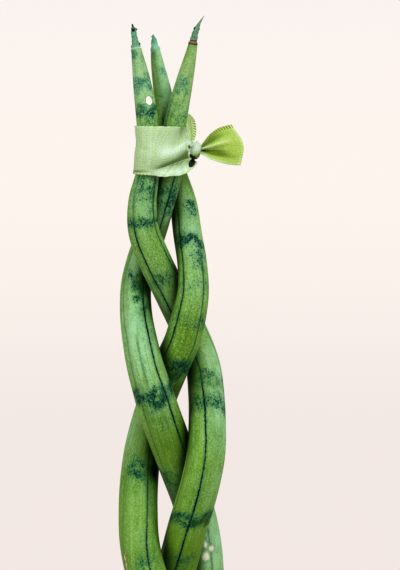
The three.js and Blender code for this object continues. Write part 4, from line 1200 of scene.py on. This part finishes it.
def make_ribbon():
    """All of the ribbon in one mesh: two turns, two tails and the knot, given its thickness by Solidify."""
    blocks, faces, uvs, sheer, painted_shadings, start = [], [], [], [], [], 0
    turns = [(inner_turn(), 0), (outer_turn(), 0)]
    tails = [(tail_sheet(tail), 1) for tail in TAILS.values()]
    for (points, uv, way, painted_shading), thin in turns + tails:
        points = toothed(points, uv[..., 1], way[None, :])
        faces.append(lay_grid(*points.shape[:2], start))
        blocks.append(points.reshape(-1, 3))
        uvs.append(uv.reshape(-1, 2))
        painted_shadings.append(painted_shading.ravel())
        along = np.linspace(0, 1, len(way))[None, :]
        curled = between(uv[..., 1], *CURLED) * (1 - CURLED_LESS * along)
        sheer.append((thin * between(along, *THIN_FROM) * (1 - curled)).ravel())
        start += len(blocks[-1])
    knot, knot_uv, knot_painted_shading = [values[::-1] for values in knot_surface()]
    flat, knot_faces = capped_tube(knot)
    faces += [block + start for block in knot_faces]
    blocks.append(flat)
    uvs.append(with_ends(knot_uv))
    painted_shadings.append(with_ends(knot_painted_shading))
    sheer.append(np.zeros(len(flat)))
    piece = make_piece(
        "ribbon_tied", np.concatenate(blocks) * MM, faces, ribbon_material(),
        layers={"sheer": np.concatenate(sheer), "painted_shading": np.concatenate(painted_shadings)}, uv=np.concatenate(uvs),
    )
    wall = piece.modifiers.new("cloth", "SOLIDIFY")
    wall.thickness = RIBBON["cloth"] * MM
    wall.offset = 0
    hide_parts("ribbon")
    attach(piece, "root")


# RIBBON_PALE, RIBBON_EDGE and STITCH_OLIVE are the cloth's own colours; the others are painted light and
# painted shade, and the tails' greens are yellower as painted light coming through the thin cloth.
RIBBON_PALE = (0.480, 0.650, 0.370)
RIBBON_PAINTED_LIGHT = (0.700, 0.870, 0.700)
RIBBON_PAINTED_SHADE = (0.134, 0.245, 0.046)
RIBBON_EDGE = (0.62, 0.79, 0.50)
RIBBON_PAINTED_HOLE_SHADE = (0.002, 0.008, 0.003)
SHEER_PALE = (0.440, 0.600, 0.135)
SHEER_PAINTED_LIGHT = (0.570, 0.720, 0.330)
SHEER_PAINTED_SHADE = (0.150, 0.250, 0.006)
SHEER_PAINTED_GLOW = (0.78, 0.97, 0.54)
STITCH_OLIVE = (0.120, 0.150, 0.012)
RIB_PITCH = 1.25                           # millimetres
WEAVE_BUMP = 0.00018                       # metres


def write_ribs(n, given):
    """The weave: waves along the ribbon and across it, broken up by a fine noise, and its stitched edge."""
    parts = n.parts(given["Cloth"])
    even = n.stretch(given["Cloth"], (1, RIBBON["width"], 1))
    grain = n.noise(even, 1.5, 2, 0.6)
    way = n.plus(parts["X"], n.times(n.noise(even, 0.12, 2), 1.2))
    rib = n.math("SINE", n.times(way, 2 * math.pi / RIB_PITCH))
    warp = n.math("SINE", n.times(parts["Y"], 2 * math.pi * RIBBON["width"] / RIB_PITCH))
    height = n.plus(n.times(rib, 0.26), n.times(warp, 0.18))
    height = n.plus(height, n.step(grain, 0.30, 0.70, -0.5, 0.5))
    from_middle = n.math("ABSOLUTE", n.minus(parts["Y"], 0.5))
    edge = n.step(from_middle, 0.41, 0.44)
    stitch = n.math("SINE", n.times(parts["X"], 2 * math.pi / RIBBON["tooth"]))
    return {"Height": height, "Edge": edge, "Stitch": n.times(n.step(stitch, 0.0, 0.6), edge)}


def ribbon_material():
    """Woven ribbon: pale green, ribbed across, with a lighter stitched edge. painted_shading is above 0 as
    painted shade of a fold and past 1 as the painted black of a hole, below 0 as painted light on a crest
    and past -1 as painted glow where light comes through; sheer is 1 on the tails, which are thin."""
    ribs = effect("ribs", {"Cloth": VECTOR}, ("Height", "Edge", "Stitch"), write_ribs)
    material, n, shader = new_material(
        "ribbon_weave", Roughness=0.5, Sheen_Weight=0.2, Sheen_Roughness=0.4, Sheen_Tint=(0.9, 1.0, 0.85),
        Subsurface_Weight=0.3, Subsurface_Scale=0.0012, Specular_IOR_Level=0.35,
        Subsurface_Radius=(1.0, 1.0, 0.25),
    )
    cloth = n.add("ShaderNodeUVMap", uv_map="cloth")
    weave = n.group(ribs, Cloth=cloth)
    sheer, painted_shading = n.attribute("sheer"), n.attribute("painted_shading")
    drift = n.noise(cloth, 0.25, 3)
    # painted shade in the weave's valleys and where the painted shading is above 0; painted light where it
    # is below 0, on slow random drifts of lighter cloth
    valleys = n.step(weave["Height"], 0.2, -0.9, 0.0, 0.30)
    shade = n.plus(valleys, n.step(painted_shading, 0.0, 1.0, 0.0, 0.95), clamp=True)
    drifts = n.step(drift, 0.45, 0.65, 0.0, 0.3)
    light = n.plus(drifts, n.step(painted_shading, 0.0, -1.0, 0.0, 0.95), clamp=True)
    pale = n.mix(sheer, RIBBON_PALE, SHEER_PALE)
    colour = n.mix(light, pale, n.mix(sheer, RIBBON_PAINTED_LIGHT, SHEER_PAINTED_LIGHT))
    # painted glow where light comes through the tails
    colour = n.mix(n.step(painted_shading, -1.0, -2.0), colour, SHEER_PAINTED_GLOW)
    colour = n.mix(shade, colour, n.mix(sheer, RIBBON_PAINTED_SHADE, SHEER_PAINTED_SHADE))
    plain = n.times(n.step(painted_shading, 0.6, 0.0), n.step(sheer, 0.3, 0.0, 0.0, 0.5))
    colour = n.mix(n.times(weave["Edge"], plain), colour, RIBBON_EDGE)
    # painted black inside the hole
    colour = n.mix(n.step(painted_shading, 1.0, 2.0), colour, RIBBON_PAINTED_HOLE_SHADE)
    stitched = n.times(weave["Stitch"], n.plus(0.12, n.times(sheer, 0.56)))
    n.put(shader.inputs["Base Color"], n.mix(stitched, colour, STITCH_OLIVE))
    height = n.plus(weave["Height"], n.times(weave["Stitch"], -1.2))
    n.put(shader.inputs["Normal"], n.bump(height, WEAVE_BUMP, 0.8))
    return material


# ---- pot and soil ----

POT = {
    "height": 104, "foot": 41, "mouth": 57, "rim": 60, "rim_height": 22, "wall": 5, "floor": 7, "drain": 6,
    "under_rim": 56, "round": 1.8, "sides": 192,
}
SOIL = {
    "level": 94, "relief": 1.1, "fine_relief": 0.35, "edge_drop": 2.2, "clear": 0.5, "floor_clear": 0.4,
    "rings": 90, "sides": 260, "seed": 41,
}
# how many, least and greatest size
CRUMBS = (1500, 0.5, 2.2)
GRIT = (130, 0.6, 1.9)
CRUMB_FORM = np.array([
    (1, 0, 0), (-1, 0, 0), (0, 1, 0), (0, -1, 0), (0, 0, 1), (0, 0, -1),
    (.62, .62, .5), (-.62, .58, .5), (.6, -.6, -.5), (-.6, -.62, .45),
], float)

CLAY_DEEP, CLAY_WARM = (0.42, 0.145, 0.07), (0.52, 0.21, 0.11)
CLAY_LIGHT_FLECK, CLAY_DARK_FLECK = (0.66, 0.40, 0.28), (0.22, 0.08, 0.045)
LIME = (0.72, 0.60, 0.52)
PEAT, CRUMB_BROWN, GRIT_PALE = (0.035, 0.022, 0.014), (0.052, 0.033, 0.020), (0.62, 0.58, 0.52)


def pot_inside(height, clear=0):
    """The radius inside the pot's wall, which leans out evenly from the foot to the mouth."""
    return POT["foot"] - POT["wall"] - clear + (POT["mouth"] - POT["foot"]) * height / POT["height"]


def ring(radius, height, sides):
    """Points round the pot's axis, for each radius and height: (radius cos a, radius sin a, height)."""
    angle = np.linspace(0, 2 * np.pi, sides, endpoint=False)[None, :]
    return np.stack(np.broadcast_arrays(radius * np.cos(angle), radius * np.sin(angle), height), -1)


def rounded(outline, radius, steps=5, most=0.45):
    """A closed outline with each corner replaced by a short quadratic curve, which starts and ends a radius
    away from it, or at most that share of a short side."""
    outline = np.array(outline, float)
    before, after = np.roll(outline, 1, 0), np.roll(outline, -1, 0)
    points = []
    for corner, last, following in zip(outline, before, after):
        cut_in = min(radius, np.linalg.norm(last - corner) * most)
        cut_out = min(radius, np.linalg.norm(following - corner) * most)
        start = corner + unit(last - corner) * cut_in
        end = corner + unit(following - corner) * cut_out
        for s in np.linspace(0, 1, steps):
            points.append((1 - s) ** 2 * start + 2 * s * (1 - s) * corner + s**2 * end)
    return np.array(points)


def make_pot():
    """The pot: its wall's outline, with rounded corners, turned round the axis."""
    shelf = POT["height"] - POT["rim_height"]
    outline = rounded([
        (POT["drain"], 0), (POT["foot"], 0), (POT["under_rim"], shelf), (POT["rim"], shelf),
        (POT["rim"], POT["height"]), (pot_inside(POT["height"]), POT["height"]),
        (pot_inside(POT["floor"]), POT["floor"]), (POT["drain"], POT["floor"]),
    ], POT["round"])
    points = ring(outline[:, :1], outline[:, 1:], POT["sides"])
    quads = lay_grid(len(points) + 1, POT["sides"], round_it=True) % (len(points) * POT["sides"])
    piece = make_piece("pot_turned", points * MM, [quads], pot_material())
    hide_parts("pot")
    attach(piece, "root")


def soil_height(x, y):
    """Three crossing waves, as in the solid, with finer waves on them."""
    wave = (np.sin(0.31 * x + 0.9) * np.cos(0.27 * y) + 0.6 * np.sin(0.19 * (x - y) + 2.1)
            + 0.5 * np.cos(0.41 * x + 0.36 * y))
    fine = np.sin(1.3 * x + 2 * np.sin(0.7 * y)) * np.sin(1.1 * y + 1.7 * np.sin(0.9 * x))
    return SOIL["level"] + SOIL["relief"] * wave / 1.6 + SOIL["fine_relief"] * fine


def loose_places(count, least, greatest, draw):
    """Places and sizes for crumbs: even over the disc, small ones far more often, none inside a leaf."""
    radius = (pot_inside(SOIL["level"]) - 2.0) * np.sqrt(draw.random(count))
    angle = draw.random(count) * 2 * np.pi
    size = least + (greatest - least) * draw.random(count) ** 3
    x, y = radius * np.cos(angle), radius * np.sin(angle)
    clear = np.ones(count, bool)
    for leaf in LEAVES.values():
        centre = leaf_centre(leaf, np.array([float(SOIL["level"])]))[0]
        girth = read_table(leaf["girth"], SOIL["level"])[0, 0]
        clear &= np.hypot(x - centre[0], y - centre[1]) > girth + size * 0.9
    x, y, size = x[clear], y[clear], size[clear]
    return np.column_stack([x, y, soil_height(x, y) + size * 0.15]), size


def scatter(name, amounts, draw, material):
    """Crumbs: the hull of a few uneven points, turned and sized at random, one for each place."""
    places, sizes = loose_places(*amounts, draw)
    form = bmesh.new()
    for corner in CRUMB_FORM:
        form.verts.new(corner)
    bmesh.ops.convex_hull(form, input=form.verts)
    form.verts.index_update()
    shape = np.array([v.co[:] for v in form.verts])
    triangles = np.array([[v.index for v in face.verts] for face in form.faces])
    form.free()
    turn = draw.normal(size=(len(places), 3, 3))
    first = unit(turn[:, 0])
    second = unit(np.cross(first, turn[:, 1]))
    axes = np.stack([first, second, np.cross(first, second)], 1)
    squash = draw.uniform(0.6, 1.1, (len(places), 1, 3))
    sized = shape[None] * squash * sizes[:, None, None]
    points = np.einsum("nvi,nij->nvj", sized, axes) + places[:, None]
    faces = triangles[None] + (np.arange(len(places)) * len(shape))[:, None, None]
    piece = make_piece(name, points * MM, [faces.reshape(-1, 3)], material, smooth=False)
    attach(piece, "root")


def make_soil():
    """The soil: a closed body whose top is a fine height field, with crumbs and pale grit lying on it."""
    floor = POT["floor"] + SOIL["floor_clear"]
    edge = pot_inside(SOIL["level"] - SOIL["edge_drop"], SOIL["clear"])
    top = ring(edge * np.linspace(1, 0.01, SOIL["rings"])[:, None], 0.0, SOIL["sides"])
    top[..., 2] = soil_height(top[..., 0], top[..., 1])
    foot = ring(pot_inside(floor, SOIL["clear"]), floor, SOIL["sides"])
    points, faces = capped_tube(np.concatenate([foot, top]))
    piece = make_piece("soil_bed", points * MM, faces, soil_material("peat", PEAT))
    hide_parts("soil")
    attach(piece, "root")
    draw = np.random.default_rng(SOIL["seed"])
    scatter("soil_crumbs", CRUMBS, draw, soil_material("crumb", CRUMB_BROWN))
    scatter("soil_grit", GRIT, draw, soil_material("perlite", GRIT_PALE))


def write_clay(n, given):
    """Fired clay: slow drifts, fine flecks, and a fine relief of flecks and turning lines."""
    fleck = n.noise(given["Place"], 1500, 2, 0.6)
    turning = n.noise(n.stretch(given["Place"], (0.02, 0.02, 1)), 900, 2, 0.5)
    height = n.plus(n.times(fleck, 0.5), n.times(turning, 0.5))
    return {"Drift": n.noise(given["Place"], 28, 4, 0.6), "Fleck": fleck, "Height": height}


def pot_material():
    """Fired clay in warm drifts, with light and dark flecks and a bloom of lime, mostly towards the foot."""
    clay = effect("clay", {"Place": VECTOR}, ("Drift", "Fleck", "Height"), write_clay)
    material, n, shader = new_material("terracotta", Specular_IOR_Level=0.3)
    place = n.add("ShaderNodeTexCoord", out="Object")
    made = n.group(clay, Place=place)
    colour = n.mix(n.step(made["Drift"], 0.35, 0.68), CLAY_DEEP, CLAY_WARM)
    colour = n.mix(n.step(made["Fleck"], 0.60, 0.72, 0.0, 0.5), colour, CLAY_LIGHT_FLECK)
    colour = n.mix(n.step(made["Fleck"], 0.40, 0.28, 0.0, 0.5), colour, CLAY_DARK_FLECK)
    low = n.step(n.parts(place)["Z"], 0.05, 0.0, 0.0, 0.55)
    bloom = n.step(n.noise(place, 55, 5, 0.7), 0.48, 0.72)
    colour = n.mix(n.times(bloom, n.plus(low, 0.18)), colour, LIME)
    n.put(shader.inputs["Base Color"], colour)
    n.put(shader.inputs["Roughness"], n.step(made["Drift"], 0.3, 0.7, 0.72, 0.9))
    n.put(shader.inputs["Normal"], n.bump(made["Height"], 0.0003, 0.6))
    return material


def soil_material(name, colour):
    """One colour in lumps, from half as light to nearly twice."""
    material, n, shader = new_material(name, Roughness=0.95, Specular_IOR_Level=0.2)
    place = n.add("ShaderNodeTexCoord", out="Object")
    lump = n.noise(place, 420, 5, 0.7)
    dark, light = [tuple(part * share for part in colour) for share in (0.45, 1.7)]
    n.put(shader.inputs["Base Color"], n.mix(n.step(lump, 0.32, 0.72), dark, light))
    n.put(shader.inputs["Normal"], n.bump(lump, 0.0010, 0.9))
    return material


# ---- the studio, in metres ----

BOWL = {"floor": 3.6, "wall": 5.2, "height": 5.0, "sides": 96, "bend_steps": 12, "middle": 0.001}
PAPER_LIT = (0.02, 0.019, 0.018)
PAPER_NEAR, PAPER_MIDDLE, PAPER_FAR = (0.900, 0.832, 0.806), (0.979, 0.914, 0.875), (0.947, 0.908, 0.888)
AIR, AIR_STRENGTH = (0.95, 0.97, 1.0), 0.55
# name: where it is, what it shines at, its two sides, watts and colour
LIGHTS = {
    "key": ((0.9, -1.5, 1.7), (0, 0, 0.38), (0.8, 0.8), 27, (1.0, 1.0, 1.0)),
    "fill": ((-1.4, -0.9, 0.7), (0, 0, 0.38), (0.8, 1.2), 9, (1.0, 0.97, 0.93)),
    "back": ((0.3, 1.5, 1.2), (0, 0, 0.4), (1.2, 0.9), 8, (1.0, 1.0, 0.97)),
}
# at in millimetres, pitch in degrees, lens and sensor in millimetres
CAMERA = {"at": (15.12, -1100.0, 441.8), "pitch": 4.0, "lens": 128.97, "sensor": 36.0}


def make_studio():
    """A pale floor that curves up all round in a quarter circle, so every view has the same plain ground."""
    bend = BOWL["wall"] - BOWL["floor"]
    turn = np.linspace(0, np.pi / 2, BOWL["bend_steps"])
    profile = [(BOWL["middle"], 0.0), (BOWL["floor"] * 0.5, 0.0)]
    profile += [(BOWL["floor"] + bend * np.sin(a), bend * (1 - np.cos(a))) for a in turn]
    profile += [(BOWL["wall"], BOWL["height"])]
    radius, height = np.array(profile).T[..., None]
    points = ring(radius, height, BOWL["sides"])
    quads = lay_grid(*points.shape[:2], round_it=True)[:, ::-1]
    bowl = make_piece("studio", points, [quads], studio_material())


def studio_material():
    """Paper that glows evenly, in slow steps of colour with the distance from the middle; it is a little
    darker to everything but the camera."""
    material, n, shader = new_material(
        "studio_paper", Roughness=1.0, Specular_IOR_Level=0.0, Base_Color=PAPER_LIT,
    )
    place = n.add("ShaderNodeTexCoord", out="Object")
    flat = n.add("ShaderNodeVectorMath", {0: n.stretch(place, (1, 1, 0))}, "Value", operation="LENGTH")
    way = n.plus(n.parts(place)["Z"], n.times(flat, 0.25))
    tint = n.mix(n.step(way, 0.25, 1.5), PAPER_NEAR, PAPER_MIDDLE)
    n.put(shader.inputs["Emission Color"], n.mix(n.step(way, 1.5, 2.3), tint, PAPER_FAR))
    to_camera = n.add("ShaderNodeLightPath", out="Is Camera Ray")
    n.put(shader.inputs["Emission Strength"], n.step(to_camera, 0.0, 1.0, 0.74, 1.0))
    material.cycles.emission_sampling = "NONE"
    return material


def make_lights():
    """Three soft boxes and the air's own light."""
    world = bpy.data.worlds.new("studio_air")
    world.use_nodes = True
    air = world.node_tree.nodes["Background"]
    air.inputs["Color"].default_value = (*AIR, 1)
    air.inputs["Strength"].default_value = AIR_STRENGTH
    bpy.context.scene.world = world
    for name, (at, aim, sides, power, colour) in LIGHTS.items():
        lamp = bpy.data.lights.new(name, "AREA")
        lamp.energy, lamp.color = power, colour
        lamp.shape = "RECTANGLE"
        lamp.size, lamp.size_y = sides
        light = bpy.data.objects.new(name, lamp)
        light.location = at
        light.rotation_euler = (Vector(aim) - Vector(at)).to_track_quat("-Z", "Y").to_euler()
        bpy.context.scene.collection.objects.link(light)


def make_camera():
    """The camera looks along +Y, tilted down a little; the sensor's width is the picture's long side."""
    data = bpy.data.cameras.new("camera")
    data.sensor_width, data.lens = CAMERA["sensor"], CAMERA["lens"]
    data.clip_start, data.clip_end = 0.05, 50
    camera = bpy.data.objects.new("camera", data)
    camera.location = [value * MM for value in CAMERA["at"]]
    camera.rotation_euler = (math.radians(90 - CAMERA["pitch"]), 0, 0)
    bpy.context.scene.collection.objects.link(camera)
    bpy.context.scene.camera = camera


make_camera()
make_leaf("leaf_left", "skin_left")
make_leaf("leaf_right", "skin_right")
make_leaf("leaf_middle", "skin_middle")
make_ribbon()
make_pot()
make_soil()
make_studio()
make_lights()
bpy.context.scene.view_settings.view_transform = "Standard"
bpy.context.scene.view_settings.gamma = 0.75
